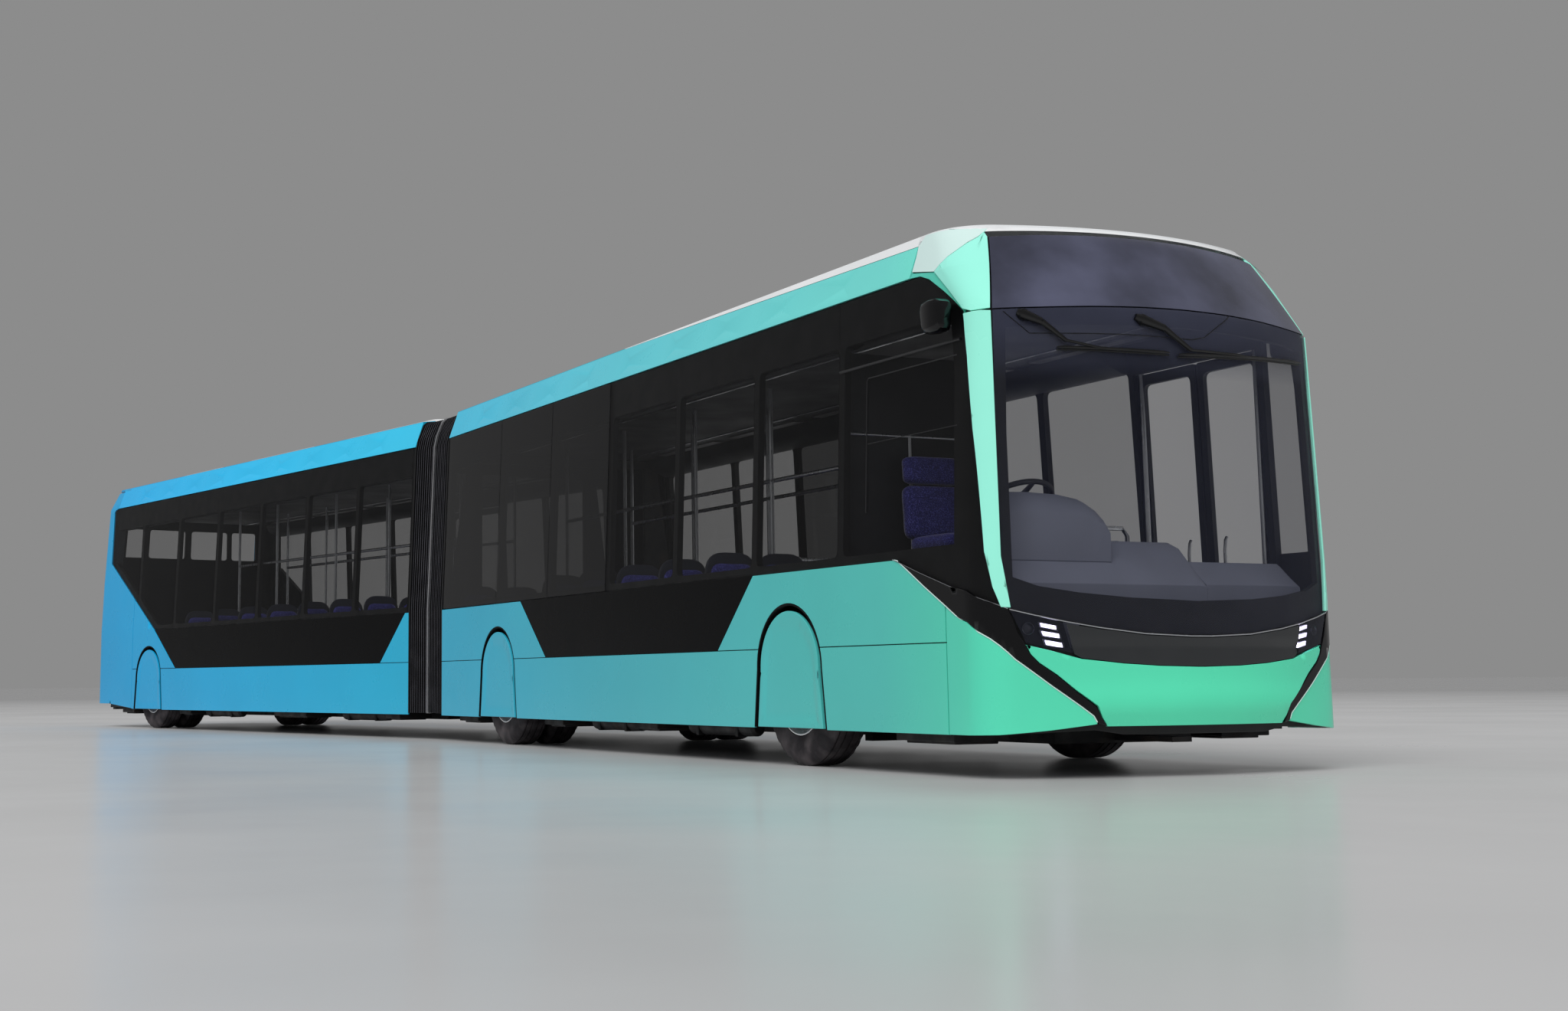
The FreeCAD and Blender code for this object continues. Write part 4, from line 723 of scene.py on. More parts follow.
HOUSINGS = {"front": ((1.7, 4.3), (4.5, 7), (7.25, 8.85)), "rear": ((10.5, 13), (13.3, 15.6), (15.9, 17.7))}
HOUSING_RINGS = ((0, 3.19), (0, 3.236), (0.01, 3.246), (0.22, 3.314), (0.25, 3.323), (0.3, 3.325))
COVE = ((1.145, 2.9), (1.1, 2.83), (1, 2.775), (0.62, 2.762), (0.62, 2.8), (1.02, 2.81), (1.09, 2.87),
        (1.12, 2.93))
DUCT = ((1.148, 2.612), (1.1, 2.612), (0.98, 2.66), (0.93, 2.72), (0.92, 2.77), (1.14, 2.8))
ROOF_GRID, EDGE_GRID = (0.16, 0.4), (0.12, 0.02)
edge = half(EAVES)
margin = edge - 0.14
for section, housings in HOUSINGS.items():
    roof, units, inner = Shape(), Shape(), Shape()
    if section == "front":
        a, b, mark, behind = 0.98, FRONT_END, WHITE_END, WHITE_END + 2.2
        turns = [(edge, mark), (margin, behind), (margin, b)]
    else:
        a, b, mark = REAR_START, 18.15, REAR_CORNER
        turns = [(edge, a), (margin, a), (margin, mark)]
    chart, paint = (nose, 0) if section == "front" else (tail, 1)
    ring = [chart(i / 20, EAVES) for i in range(-40, 41)]
    outline = [(p.x, p.y) for p in ring] + turns + [(-x, y) for x, y in turns[::-1]]
    roof.patch(cap, outline, (), 0.03, paint=paint, grid=ROOF_GRID)
    if section == "front":
        wedge = [(edge, mark + 0.01), (edge, b), (margin + 0.001, b), (margin + 0.001, behind)]
        eave = [(RAIL_START, mint_top(RAIL_START)), (mark, mint_top(mark)), (mark, EAVES), (RAIL_START, EAVES)]
        for side in SIDES:
            roof.patch(cap, [(side * x, y) for x, y in wedge], (), 0.03, paint=1, grid=ROOF_GRID)
            roof.patch(SIDES[side], eave, (), 0.02, grid=(1.5, 0.02))
        ends = [[(u_at(NOSE, side, "y", y, z), z) for y, z in ((1, EAVES), (0.75, 3.174))] for side in SIDES]
        line = [(u_at(NOSE, -1, "x", x / 50, 3.15), 3.143 - 0.018 * (x / 49) ** 2) for x in range(-49, 50, 2)]
        roof.patch(nose, ends[0] + line + ends[1][::-1], (), 0.02, grid=EDGE_GRID)
    else:
        roof.patch(cap, rect(-margin + 0.001, margin - 0.001, a, mark - 0.001), (), 0.03, grid=ROOF_GRID)
        roof.patch(tail, rect(-2.35, 2.35, 3.14, EAVES), (), 0.02, paint=1, grid=EDGE_GRID)
    roof.make(section + "_roof_skin", [WHITE, PAINT], "roof_paint", 0, section, section + "_roof")

    for y0, y1 in housings:
        units.rings([[(x, y, z) for x, y in rect(inset - 0.84, 0.84 - inset, y0 + inset, y1 - inset, 0.12, 6)]
                     for inset, z in HOUSING_RINGS])
        for k in range(9):
            y = y0 + 0.35 + k * 0.07
            units.box((-0.46, y, 3.3165), (0.46, y + 0.03, 3.3248), 1)
    units.make(section + "_roof_housings", [WHITE, FRIT], "roof_paint", 0.003, section)

    for side in SIDES:
        inner.rings([[(side * x, y, z) for x, z in COVE] for y in (a, b)])
        inner.box((side * 0.6 - 0.012, a + 0.1, 2.752), (side * 0.6 + 0.012, b - 0.1, 2.766), 2)
        inner.rings([[(side * x, y, z) for x, z in DUCT] for y in (max(a, 1.9), b - 0.05)])
        for k in range(int((b - a) / 1.5)):
            y = a + 0.3 + k * 1.5
            inner.box((side * 0.8 - 0.05, y, 2.752), (side * 0.8 + 0.05, y + 1.2, 2.768), 1)
    inner.box((-0.62, a, 2.762), (0.62, b, 2.8))
    inner.make(section + "_ceiling", [CEILING, STRIP, TRIM], "cab_plastic", 0.003, section)

# ---- the nose

def at_x(*points):
    return [("x", *p) for p in points]


def at_y(*points):
    return [("y", *p) for p in points]


# Corners on the driver's side; the other side mirrors them.
WINDOW_CURVE = at_y((0.969, 2.905), (0.89, 2.899), (0.798, 2.864), (0.647, 2.765), (0.559, 2.701),
                    (0.45, 2.613), (0.435, 2.529), (0.408, 2.335))
PILLAR_OUTER = at_x((-1.237, 1.929), (-1.232, 1.24), (-1.208, 1.045), (-1.178, 0.933))
GREY_LINE = (at_x((-1.147, 0.926), (-1.18, 0.943), (-1.253, 0.988)) +
             at_y((0.591, 1.066), (0.891, 1.159), (1.158, 1.249)))
BLADE_OUTER = (at_y((1.153, 1.245), (1.11, 1.238), (1.016, 1.183), (0.833, 1.072), (0.636, 0.96), (0.5, 0.88)) +
               at_x((-1.256, 0.8), (-1.119, 0.65), (-0.933, 0.506), (-0.771, 0.39), (-0.705, 0.34),
                    (-0.681, 0.296)))
BLADE_INNER = at_x((-0.624, 0.282), (-0.657, 0.332), (-0.685, 0.394), (-0.801, 0.48), (-0.898, 0.563),
                   (-0.993, 0.629), (-1.039, 0.679), (-1.061, 0.728), (-1.098, 0.794), (-1.134, 0.896))
CHROME_LINE = [(-1.14, 0.923), (-1.016, 0.892), (-0.837, 0.854), (-0.649, 0.822), (-0.376, 0.789),
               (-0.076, 0.776)]
GRILLE_LOW = [(-1.061, 0.731), (-0.926, 0.698), (-0.76, 0.652), (-0.514, 0.626), (-0.288, 0.612),
              (-0.023, 0.606)]
SCREEN_SIDE = at_x((-1.152, 2.598), (-1.16, 1.961), (-1.167, 1.217), (-1.132, 0.93))
HEADER_LOW = [(-1.146, 2.606), (-0.9, 2.614), (-0.6, 2.626), (-0.3, 2.634), (0, 2.637)]
HEADER_HIGH = [(-0.978, 3.086), (-0.7, 3.104), (-0.35, 3.116), (0, 3.12)]
# the shoulder's facets meet here
FACETS = at_y((0.549, 3.089), (0.604, 3.014), (0.738, 2.903))
REVEAL_FOOT = at_y((0.6, 2.776), (0.447, 2.628))
DRIVERS = (-1,)


def mirrored(corners):
    return [(kind, -value, z) for kind, value, z in corners]


def over(half_line, up=0):
    """A line over the nose from a line over its driver's side."""
    line = at_x(*((x, z + up) for x, z in half_line))
    return line + mirrored(p for p in reversed(line) if p[1] < 0)


def on_nose(shape, corners, side=-1, holes=(), gap=0.0015, grid=(0.05, 0.12), **settings):
    outline = shrink(trace(NOSE, side, corners), gap)
    shape.patch(nose, outline, holes, grid=grid, levels=NOSE_LEVELS, **settings)


def skin(name, finish, slot, bevel, corners, sides=(-1, 1), node=None, segments=2, **settings):
    """A piece of one shell on the nose, or the same shell on both sides."""
    shape = Shape()
    for side in sides:
        on_nose(shape, corners, side, **settings)
    shape.make(name, finish, slot, bevel, node=node, segments=segments)


def bumper_lift(u, z):
    """A soft crease and a lip."""
    crease = 0.42 - 0.02 * abs(u)
    return 0.016 * math.exp(-((z - crease) / 0.09) ** 2) - 0.012 * max(0, (0.36 - z) / 0.08)


blade_foot = [p for p in BLADE_INNER if p[2] < 0.73]
skin("bumper", PAINT, "body_paint", 0.003, over(GRILLE_LOW)[::-1] + blade_foot[::-1] + mirrored(blade_foot),
     DRIVERS, "front_mask", thick=0.02, grid=(0.04, 0.03), lift=bumper_lift)
skin("front_corner_panels", PAINT, "body_paint", 0.003,
     at_x((-0.7, 0.292), (-0.95, 0.262), (-1.2, 0.24)) +
     at_y((0.45, SKIRT), (0.63, SKIRT), (0.63, 0.952)) + BLADE_OUTER[5:], thick=0.02, gap=0.002)
skin("nose_blades", GLOSS, "black_gloss", 0.004, BLADE_OUTER + BLADE_INNER + GREY_LINE, segments=3,
     thick=0.02, gap=0.003, grid=(0.05, 0.05), out=0.004)
# Blade lines: chrome trim on the grey line. Panel edges: a thin pale tube along the blade's outer line, a
# painted highlight on the panel's edge.
lines, edges = Shape(), Shape()
for side in SIDES:
    lines.tube([spot(side, corner, 0.002) for corner in GREY_LINE], 0.003, sides=6)
    edges.tube([spot(side, (kind, *p), 0.0005)
                for (kind, *a), (after, *b) in zip(BLADE_OUTER, BLADE_OUTER[1:]) if kind == after
                for p in run(a, b, 4)[:-1]], 0.004, sides=6)
lines.make("blade_lines", TRIM, "black_gloss", 0)
edges.make("panel_edge_highlights", RIDGE_AND_HIGHLIGHT_PAINT, "body_paint", 0)
valance = at_x((-1.16, 0.243), (-0.673, 0.262), (-0.5, 0.236), (0.5, 0.236), (0.673, 0.262), (1.16, 0.243),
               (1.16, 0.3), (0.62, 0.33), (-0.62, 0.33), (-1.16, 0.3))
skin("front_valance", FRIT, "cab_plastic", 0.003, valance, DRIVERS, out=-0.035, thick=0.05, grid=(0.08, 0.05))
# The pillars and shoulders are drawn in the lit paint: painted light on faces turned to the lamp.
skin("front_pillars", PALE_LIT_PAINT, "body_paint", 0.004,
     SCREEN_SIDE + PILLAR_OUTER[::-1] + at_y((0.404, 2.335), (0.44, 2.604)) + at_x((-1.19, 2.604)),
     segments=3, thick=0.02, out=0.006)
skin("front_shoulders", PALE_LIT_PAINT, "body_paint", 0.003,
     at_x((-1.152, 2.61), (-0.984, 3.086), (-0.978, 3.12)) + at_y((0.567, 3.146)) + FACETS + REVEAL_FOOT +
     at_x((-1.214, 2.606)), thick=0.02, grid=(0.06, 0.06), out=0.003)
# The shoulder ridges carry the white roof edge forward, and their near-white also paints the light on these
# facets.
skin("shoulder_ridges", RIDGE_AND_HIGHLIGHT_PAINT, "roof_paint", 0.003,
     at_y((0.567, 3.15), (0.75, 3.17), (0.95, 3.1755), (1, 3.116), (0.99, 3.043), (0.99, 2.95)) +
     FACETS[::-1], thick=0.02, grid=(0.06, 0.04), out=0.001)
skin("window_reveals", PAINT, "body_paint", 0.002,
     at_y((1, 2.913), (0.99, 2.945)) + FACETS[-1:] + REVEAL_FOOT + at_y((0.402, 2.34)) +
     [(k, v, z + 0.006) for k, v, z in WINDOW_CURVE[-2::-1]], thick=0.02, gap=0.001, grid=(0.06, 0.04),
     out=-0.006)
# The header glass's patches are painted reflections.
skin("header_glass", HEADER_PAINTED_REFLECTION, "glass", 0.002, over(HEADER_LOW) + over(HEADER_HIGH)[::-1], DRIVERS,
     "front_header", thick=0.012, grid=(0.06, 0.06), gap=0.002)
skin("windscreen_pane", SCREEN, "glass", 0.001,
     over(HEADER_LOW, -0.004) + mirrored(SCREEN_SIDE[1:]) + over(CHROME_LINE, 0.006)[::-1] +
     SCREEN_SIDE[:0:-1], DRIVERS, "windscreen", thick=0.007, gap=0.002)

panes = Shape()
on_nose(panes, at_y((1.783, 1.251), (1.783, 2.905)) + WINDOW_CURVE + PILLAR_OUTER + GREY_LINE, gap=0.002)
on_nose(panes, at_y((0.696, 1.1), (0.696, 2.79)) + WINDOW_CURVE[3:] + PILLAR_OUTER + GREY_LINE[:4], 1,
        gap=0.002)
on_nose(panes, at_y((0.7, 2.616), (1.2, 2.616), (1.2, 2.905)) + WINDOW_CURVE[:3] + at_y((0.7, 2.79)), 1)
panes.make("cab_side_glass", TINT, "glass", 0.001)

# the opening part of the cab's side window
bars = Shape()
for radius, sides, *lengths in ((0.009, 8, ((0.47, 2.46), (1.775, 2.46))),
                                (0.004, 8, ((0.5, 2.375), (1.44, 2.375)), ((1.455, 2.36), (1.455, 1.55))),
                                (0.0025, 6, ((0.5, 1.97), (1.44, 1.97)))):
    bars.tube([spot(-1, ("y", *p), 0.001) for ends in lengths for p in run(*ends, 8)], radius, sides=sides)
bars.make("cab_window_bars", BAR, "black_gloss", 0)

# dark frames behind the glass
SCREEN_HOLE = [(0, 2.53), (0.9, 2.515), (1.085, 2.5), (1.105, 1.9), (1.11, 1.1), (0.975, 1.05),
               (0.752, 1.015), (0.446, 0.988), (0, 0.972)]
holes = [trace(NOSE, -1, at_x(*((-x, z) for x, z in SCREEN_HOLE[2:0:-1]), *SCREEN_HOLE,
                              *((-x, z) for x, z in SCREEN_HOLE[-2:2:-1])))]
for side, fore, back in ((-1, 0.56, 1.755), (1, 0.4, 0.66)):
    corners = at_y((fore, 1.3), (back, 1.3), (back, 2.62), (0.62, 2.62), (fore + 0.03, 2.56), (fore, 2.3))
    holes.append(trace(NOSE, side, corners))
holes += [[(side * u, z) for u, z in ((0.62, 0.7), (1.02, 0.74), (1.09, 0.91), (0.66, 0.84))]
          for side in SIDES]
back_edge = [(u_at(NOSE, 1, "y", 0.64, z), z)
             for z in (3, 2.909, 2.75, 2.603, 2.25, 1.9, 1.6, 1.247, 0.931, 0.6, 0.28)]
outline = ([(-u, z) for u, z in back_edge[::-1]] + [(-1.2, 3.09), (0, 3.09), (1.2, 3.09)] + back_edge +
           [(0, 0.3)])
inner = Shape()
inner.patch(nose, outline, holes, 0.03, -0.022, grid=(0.08, 0.15), levels=NOSE_LEVELS)
inner.make("nose_frame", FRIT, "black_gloss", 0)

# the grille between the lamps, with a chrome line over it
skin("grille", GRILLE, "black_gloss", 0.002,
     at_x((-0.8, 0.676), (-0.76, 0.654)) + [p for p in over(GRILLE_LOW) if abs(p[1]) < 0.75] +
     at_x((0.76, 0.654), (0.8, 0.676), (0.842, 0.846)) +
     [p for p in over(CHROME_LINE, -0.006)[::-1] if abs(p[1]) < 0.8] + at_x((-0.842, 0.846)), DRIVERS,
     thick=0.014, grid=(0.05, 0.03), gap=0.002,
     lift=lambda u, z: -0.012 * math.exp(-((z - 0.71) / 0.035) ** 2))
strip = Shape()
strip.tube([spot(-1, corner, 0.001) for corner in over(CHROME_LINE)], 0.0045, sides=8)
strip.make("grille_line", TRIM, "black_gloss", 0)

# ---- under the floor

# a pipe's ends, tanks, boxes
UNDER = {"front": ((3.1, 6.9), ((3.35, 4.35), (5.2, 6.1)), ((0.75, 1.35), (4.6, 5), (6.4, 6.8), (8.4, 8.9))),
         "rear": ((10.4, 16.2), ((11, 12), (14.6, 15.6)),
                  ((10.5, 10.8), (12.6, 13.4), (15.75, 16.1), (17.6, 18)))}
for section, (pipe, tanks, boxes) in UNDER.items():
    under = Shape()
    for a, b in tanks:
        for x in (-0.98, 0.98):
            under.tube([(x, y, 0.222) for y in (a, a + 0.03, b - 0.03, b)], [0.04, 0.062, 0.062, 0.04], 0, 20)
            for y in (a + 0.2, b - 0.2):
                under.box((x - 0.066, y, 0.156), (x + 0.066, y + 0.04, 0.286))
    for a, b in boxes:
        for x0, x1 in ((-1.16, -0.78), (0.78, 1.16)):
            under.box((x0, a, 0.19), (x1, b, 0.285))
            under.box((x0 + 0.04, a + 0.05, 0.175), (x1 - 0.04, b - 0.05, 0.195))
    under.tube([(-0.62, y, 0.24) for y in pipe], 0.03, sides=12)
    under.make(section + "_under_equipment", STEEL, "frame_steel", 0.006, section)

# ---- headlamps

LAMP = at_x((-1.137, 0.917), (-0.845, 0.846), (-0.803, 0.68), (-1.06, 0.737))
BARS = [[(-0.972, 0.851), (-0.884, 0.834), (-0.882, 0.809), (-0.966, 0.826)],
        [(-0.967, 0.806), (-0.869, 0.79), (-0.865, 0.763), (-0.955, 0.777)],
        [(-0.95, 0.757), (-0.855, 0.74), (-0.849, 0.71), (-0.941, 0.727)]]
EYE = ("x", -1.039, 0.818)
for side, tag in SIDE_NAME.items():
    lamp, eye = Shape(), Shape()
    on_nose(lamp, LAMP, side, gap=-0.012, thick=0.004, out=-0.062)
    for bar in BARS:
        on_nose(lamp, at_x(*bar), side, gap=0.002, grid=(0.05, 0.02), thick=0.012, out=-0.03, paint=1)
        cx, cz = (sum(values) / 4 for values in zip(*bar))
        grown = [(x + (x - cx) * 0.25, z + (z - cz) * 0.25) for x, z in bar]
        on_nose(lamp, at_x(*grown), side, gap=0, thick=0.02, out=-0.04, paint=2)
    eye.lathe([(-0.03, 0.034), (0.004, 0.034), (0.006, 0.031), (0.002, 0.029), (-0.012, 0.024)], "Z",
              steps=40, paint=2)
    eye.lathe([(-0.014, 0.024), (-0.006, 0.022), (0, 0.014), (0.003, 0.0005)], "Z", steps=32, paint=3)
    centre = spot(side, EYE, -0.03)
    facing = (spot(side, EYE, 0.1) - centre).normalized()
    eye.move(Vector((0, 0, 1)).rotation_difference(facing).to_matrix(), centre)
    lamp.add(eye.verts, eye.faces)
    lamp.paint[-len(eye.faces):] = eye.paint
    lamp.make(f"headlamp_{tag}", [FRIT, LED, REFLECTOR, CLEAR], "lamp", 0.001, segments=1,
              node="headlamps" if side < 0 else None)
    skin(f"headlamp_cover_{tag}", CLEAR, "lamp", 0, LAMP, (side,), thick=0.003, gap=0.001)

# ---- wipers, cameras

def on_screen(p, proud):
    return spot(-1, ("x", *p), proud)


# pivot, elbow, joint, the blade's two ends
WIPERS = (((-0.994, 2.569), (-0.903, 2.525), (-0.776, 2.42), (-0.826, 2.382), (-0.143, 2.372)),
          ((-0.309, 2.555), (-0.18, 2.511), (0.005, 2.395), (-0.083, 2.365), (1.015, 2.415)))
COVER_LINE = [(-1.095, 2.588), (-0.964, 2.462), (-0.452, 2.467), (0.034, 2.461), (0.126, 2.481),
              (0.344, 2.624)]
wiper = Shape()
for pivot, elbow, joint, start, end in WIPERS:
    a, b, c = on_screen(pivot, 0.012), on_screen(elbow, 0.026), on_screen(joint, 0.022)
    wiper.tube([on_screen(pivot, -0.004), a, on_screen(pivot, 0.03)], [0.034, 0.034, 0.026], sides=16)
    wiper.tube([a + (a - b) * 0.35, a, b], [0.018, 0.03, 0.02], sides=12)
    wiper.tube([b, c], [0.018, 0.012], sides=10)
    x, z = (start[0] + end[0]) / 2, (start[1] + end[1]) / 2
    wiper.tube([c, on_screen((x - 0.1, z + 0.004), 0.024), on_screen((x, z), 0.02)], [0.009, 0.008, 0.007],
               sides=8)
    blade = run(start, end, 16)
    wiper.tube([on_screen(p, 0.017) for p in blade], [0.004] + [0.01] * 15 + [0.004], sides=8)
    wiper.tube([on_screen((x, z - 0.012), 0.007) for x, z in blade], 0.005, sides=6)
for start, end in zip(COVER_LINE, COVER_LINE[1:]):
    wiper.tube([on_screen(p, 0.0008) for p in run(start, end, 6)], 0.0025, sides=6)
wiper.make("screen_wipers", WIPER, "cab_plastic", 0, node="wipers")

POD_X, POD_Z = 1.307, 2.602
# y, half height, half width
POD_RINGS = ((0.5, 0.055, 0.038), (0.506, 0.078, 0.054), (0.53, 0.094, 0.066), (0.59, 0.097, 0.067),
             (0.65, 0.092, 0.063), (0.682, 0.07, 0.05), (0.69, 0.05, 0.035))
for side, tag in SIDE_NAME.items():
    pod = Shape()
    pod.rings([[(side * (POD_X + x), y, POD_Z + z)
                for x, z in rounded([(-w * 0.8, -h), (w * 0.8, -h), (w, h), (-w, h)], 0.035)]
               for y, h, w in POD_RINGS])
    pod.tube([(side * x, 0.595, z) for x, z in ((1.212, 2.665), (1.25, 2.66), (1.29, 2.65))],
             [0.03, 0.024, 0.028], sides=14)
    pod.lathe([(-0.002, 0.026), (0.006, 0.026), (0.008, 0.02), (0.004, 0.018)], "Y",
              (side * POD_X, 0.682, 2.63), 24, 1)
    pod.make(f"mirror_camera_{tag}", [GLOSS, CLEAR], "cab_plastic", 0.002,
             node="mirror_cameras" if side < 0 else None)

# ---- the tail

def on_tail(shape, corners, side=-1, holes=(), gap=0.002, **settings):
    outline = shrink(trace(TAIL, side, corners, 0.08), gap)
    shape.patch(tail, outline, holes, grid=(0.08, 0.15), levels=TAIL_LEVELS, **settings)


def tail_panel(low, high):
    return at_x((-0.996, low), (0.996, low), (0.996, high), (-0.996, high))


paint, panes, dark, hatch = (Shape() for _ in range(4))
for side in SIDES:
    on_tail(paint, at_y((17.422, 0.247), (18.2, 0.303)) + at_x((-1, 0.303), (-1, 3.136)) +
            at_y((18.2, 3.136), (18.2, 3.136), (18.2, 2.911), (18.305, 2.895), (18.341, 2.862),
                 (18.326, 2.168), (17.422, 1.655)), side, thick=0.02)
    on_tail(paint, at_y((16.008, 0.752), (17.418, 0.752), (17.418, 1.65), (16.718, 1.252)), side,
            [[(u_at(TAIL, side, "y", *p), p[1]) for p in arch(AXLES["rear"], GAP)]], thick=0.018)
on_tail(paint, tail_panel(2.8, 3.136), thick=0.02)
on_tail(paint, tail_panel(0.303, 0.8), holes=[rect(-0.27, 0.27, 0.5, 0.66)], thick=0.02,
        lift=lambda u, z: -0.012 * math.exp(-((z - 0.74) / 0.02) ** 2))
on_tail(paint, tail_panel(0.806, 1.8), holes=[rect(-0.62, 0.62, 1.12, 1.44)], thick=0.02)
paint.make("tail_panels", PAINT, "body_paint", 0.003, "rear", "rear_mask")
on_tail(panes, tail_panel(1.806, 2.794), thick=0.007)
panes.make("tail_window", TINT, "glass", 0.001, "rear")
dark.patch(tail, rect(-2.3, 2.3, 0.34, 3.1),
           [rect(a, b, 2.29, 2.68, 0.04)
            for a, b in ((-0.93, -0.6), (-0.54, -0.04), (0.04, 0.54), (0.6, 0.93))],
           0.03, -0.022, grid=(0.12, 0.25), levels=TAIL_LEVELS)
for z in (1.135 + k * 0.027 for k in range(11)):
    a, b = tail(-0.62, z, -0.012), tail(0.62, z, -0.012)
    dark.box((a.x, a.y - 0.006, z), (b.x, b.y + 0.008, z + 0.013))
dark.make("tail_frame", FRIT, "black_gloss", 0.001, "rear", segments=1)

lights = Shape()
LENS_GRID = (0.06, 0.05)
for side in SIDES:
    for z0, z1, lens in ((1.62, 1.74, 0), (1.48, 1.6, 1), (1.34, 1.46, 0), (0.98, 1.04, 2)):
        outline = rect(side * 1.04, side * 1.3, z0, z1, 0.02)
        lights.patch(tail, outline, (), 0.012, 0.004, 3, LENS_GRID)
        lights.patch(tail, shrink(outline, 0.012), (), 0.006, 0.0075, lens, LENS_GRID)
    lights.patch(tail, rect(side * 1.06, side * 1.26, 0.4, 0.45, 0.01), (), 0.012, 0.004)
lights.patch(tail, rect(-0.22, 0.22, 2.85, 2.88, 0.01), (), 0.01, 0.003)
lights.patch(tail, rect(-0.262, 0.262, 0.505, 0.655, 0.012), (), 0.01, -0.016, 4)
for v in lights.verts:
    v.y = min(v.y, LENGTH - 0.001)
lights.make("tail_lamps", [RED, AMBER, CLEAR, FRIT, LINING], "lamp", 0, "rear")

for p in (tail(side * 0.8, z) for side in SIDES for z in (0.92, 1.7)):
    hatch.box((p.x - 0.035, p.y - 0.012, p.z - 0.02),
              (p.x + 0.035, min(p.y + 0.01, LENGTH - 0.0005), p.z + 0.02))
hatch.make("tail_latches", FRIT, "black_gloss", 0.003, "rear")

# ---- wheels

TYRE_WIDTH, TYRE_RADIUS, TWIN, WHEEL_FACE = 0.275, 0.478, 0.31, 1.2
# half of a tyre's outline from its bead: how far in from its side, radius
TYRE_WALL = [(0.02, 0.2865), (0.004, 0.291), (0.006, 0.303), (0.003, 0.318), (0.0005, 0.345), (0, 0.375),
             (0.002, 0.4), (0.01, 0.43), (0.022, 0.456), (0.034, 0.471), (0.044, 0.4765)]
# behind the face, radius
BARREL = [(-0.004, 0.2855), (-0.004, 0.276), (0.012, 0.268), (0.05, 0.262), (0.085, 0.257)]
DISC = [(0.085, 0.258), (0.072, 0.238), (0.06, 0.222), (0.046, 0.196), (0.036, 0.176), (0.033, 0.15),
        (0.034, 0.12), (0.034, 0.06)]
HUB = [(0.045, 0.1), (0.012, 0.098), (0.004, 0.088), (0.002, 0.05), (0.0015, 0.001)]
NUT = [(0.034, 0.019), (0.026, 0.019), (0.025, 0.0155), (0.008, 0.015), (0.004, 0.011)]
SECTORS, NUTS, NUT_CIRCLE = 60, 10, 0.14


def tyre_profile():
    """A tyre's outline as (across from the middle, radius)."""
    w = TYRE_WIDTH / 2
    tread = [(groove + dx, r) for groove in (-0.078, -0.028, 0.028, 0.078)
             for dx, r in ((-0.007, 0.4775), (-0.004, 0.465), (0.004, 0.465), (0.007, 0.4775))]
    return [(d - w, r) for d, r in TYRE_WALL] + tread + [(w - d, r) for d, r in TYRE_WALL[::-1]]


def build_tyre(shape, side, face, axle):
    centre = side * (face - TYRE_WIDTH / 2)
    rings = []
    for k, (c, s) in enumerate(circle(144)):
        lug = 0.0055 if k % 4 in (0, 1) else 0
        profile = [(x, r - lug if abs(x) > 0.094 and r > 0.44 else r) for x, r in tyre_profile()]
        rings.append([(centre + x, axle + r * c, TYRE_RADIUS + r * s) for x, r in profile])
    shape.rings(rings, closed=True)


def build_rim(shape, side, face, axle, inner):
    """A disc wheel: barrel, dished disc with hand holes, hub with nuts."""
    def outside(profile):
        return [(side * (face - d), r) for d, r in profile]

    centre = (0, axle, TYRE_RADIUS)
    barrel = [(side * x, r) for x, r in ((inner, 0.257), (inner, 0.268), (inner - 0.004, 0.2855),
                                         (inner + 0.02, 0.277), (face - 0.03, 0.277))]
    shape.lathe(outside(BARREL) + barrel, "X", centre, SECTORS, closed=True)
    # the dished disc in sectors, open at ten hand holes
    n, total = len(DISC), len(DISC) * SECTORS
    front = [Vector((x, axle + r * c, TYRE_RADIUS + r * s))
             for c, s in circle(SECTORS) for x, r in outside(DISC)]
    back = [v - Vector((side * 0.012, 0, 0)) for v in front]
    solid = {(i, j) for i in range(SECTORS) for j in range(n - 1) if not (j in (1, 2) and i % 6 in (2, 3, 4))}
    faces = []
    for i, j in solid:
        k = (i + 1) % SECTORS
        quad = (i * n + j, i * n + j + 1, k * n + j + 1, k * n + j)
        faces += [quad, tuple(total + v for v in reversed(quad))]
        for a, b, beside in ((0, 3, (i, j - 1)), (2, 1, (i, j + 1)), (1, 0, ((i - 1) % SECTORS, j)),
                             (3, 2, (k, j))):
            if beside not in solid:
                faces.append((quad[a], quad[b], total + quad[b], total + quad[a]))
    shape.add(front + back, faces)
    shape.lathe(outside(HUB), "X", centre, 40)
    for c, s in circle(NUTS, 0.5):
        shape.lathe(outside(NUT), "X", (0, axle + NUT_CIRCLE * c, TYRE_RADIUS + NUT_CIRCLE * s), 6)


for axle, y in AXLES.items():
    section, twin = section_of(axle), 0 if axle == "front" else TWIN
    for side, tag in SIDE_NAME.items():
        body = f"{axle}_wheel_{tag}"
        tyre, metal = Shape(), Shape()
        for face in (WHEEL_FACE, WHEEL_FACE - TWIN) if twin else (WHEEL_FACE,):
            build_tyre(tyre, side, face, y)
        build_rim(metal, side, WHEEL_FACE - 0.008, y, WHEEL_FACE - TYRE_WIDTH + 0.012 - twin)
        tyre.make(f"{axle}_tyre_{tag}_tread", TYRE, "tyre", 0, section, f"{axle}_tyre_{tag}", body, limit=32)
        metal.make(f"{axle}_rim_{tag}_disc", CHROME_PAINTED_GLEAM, "rim", 0.0012, section, f"{axle}_rim_{tag}", body, 1, 40)

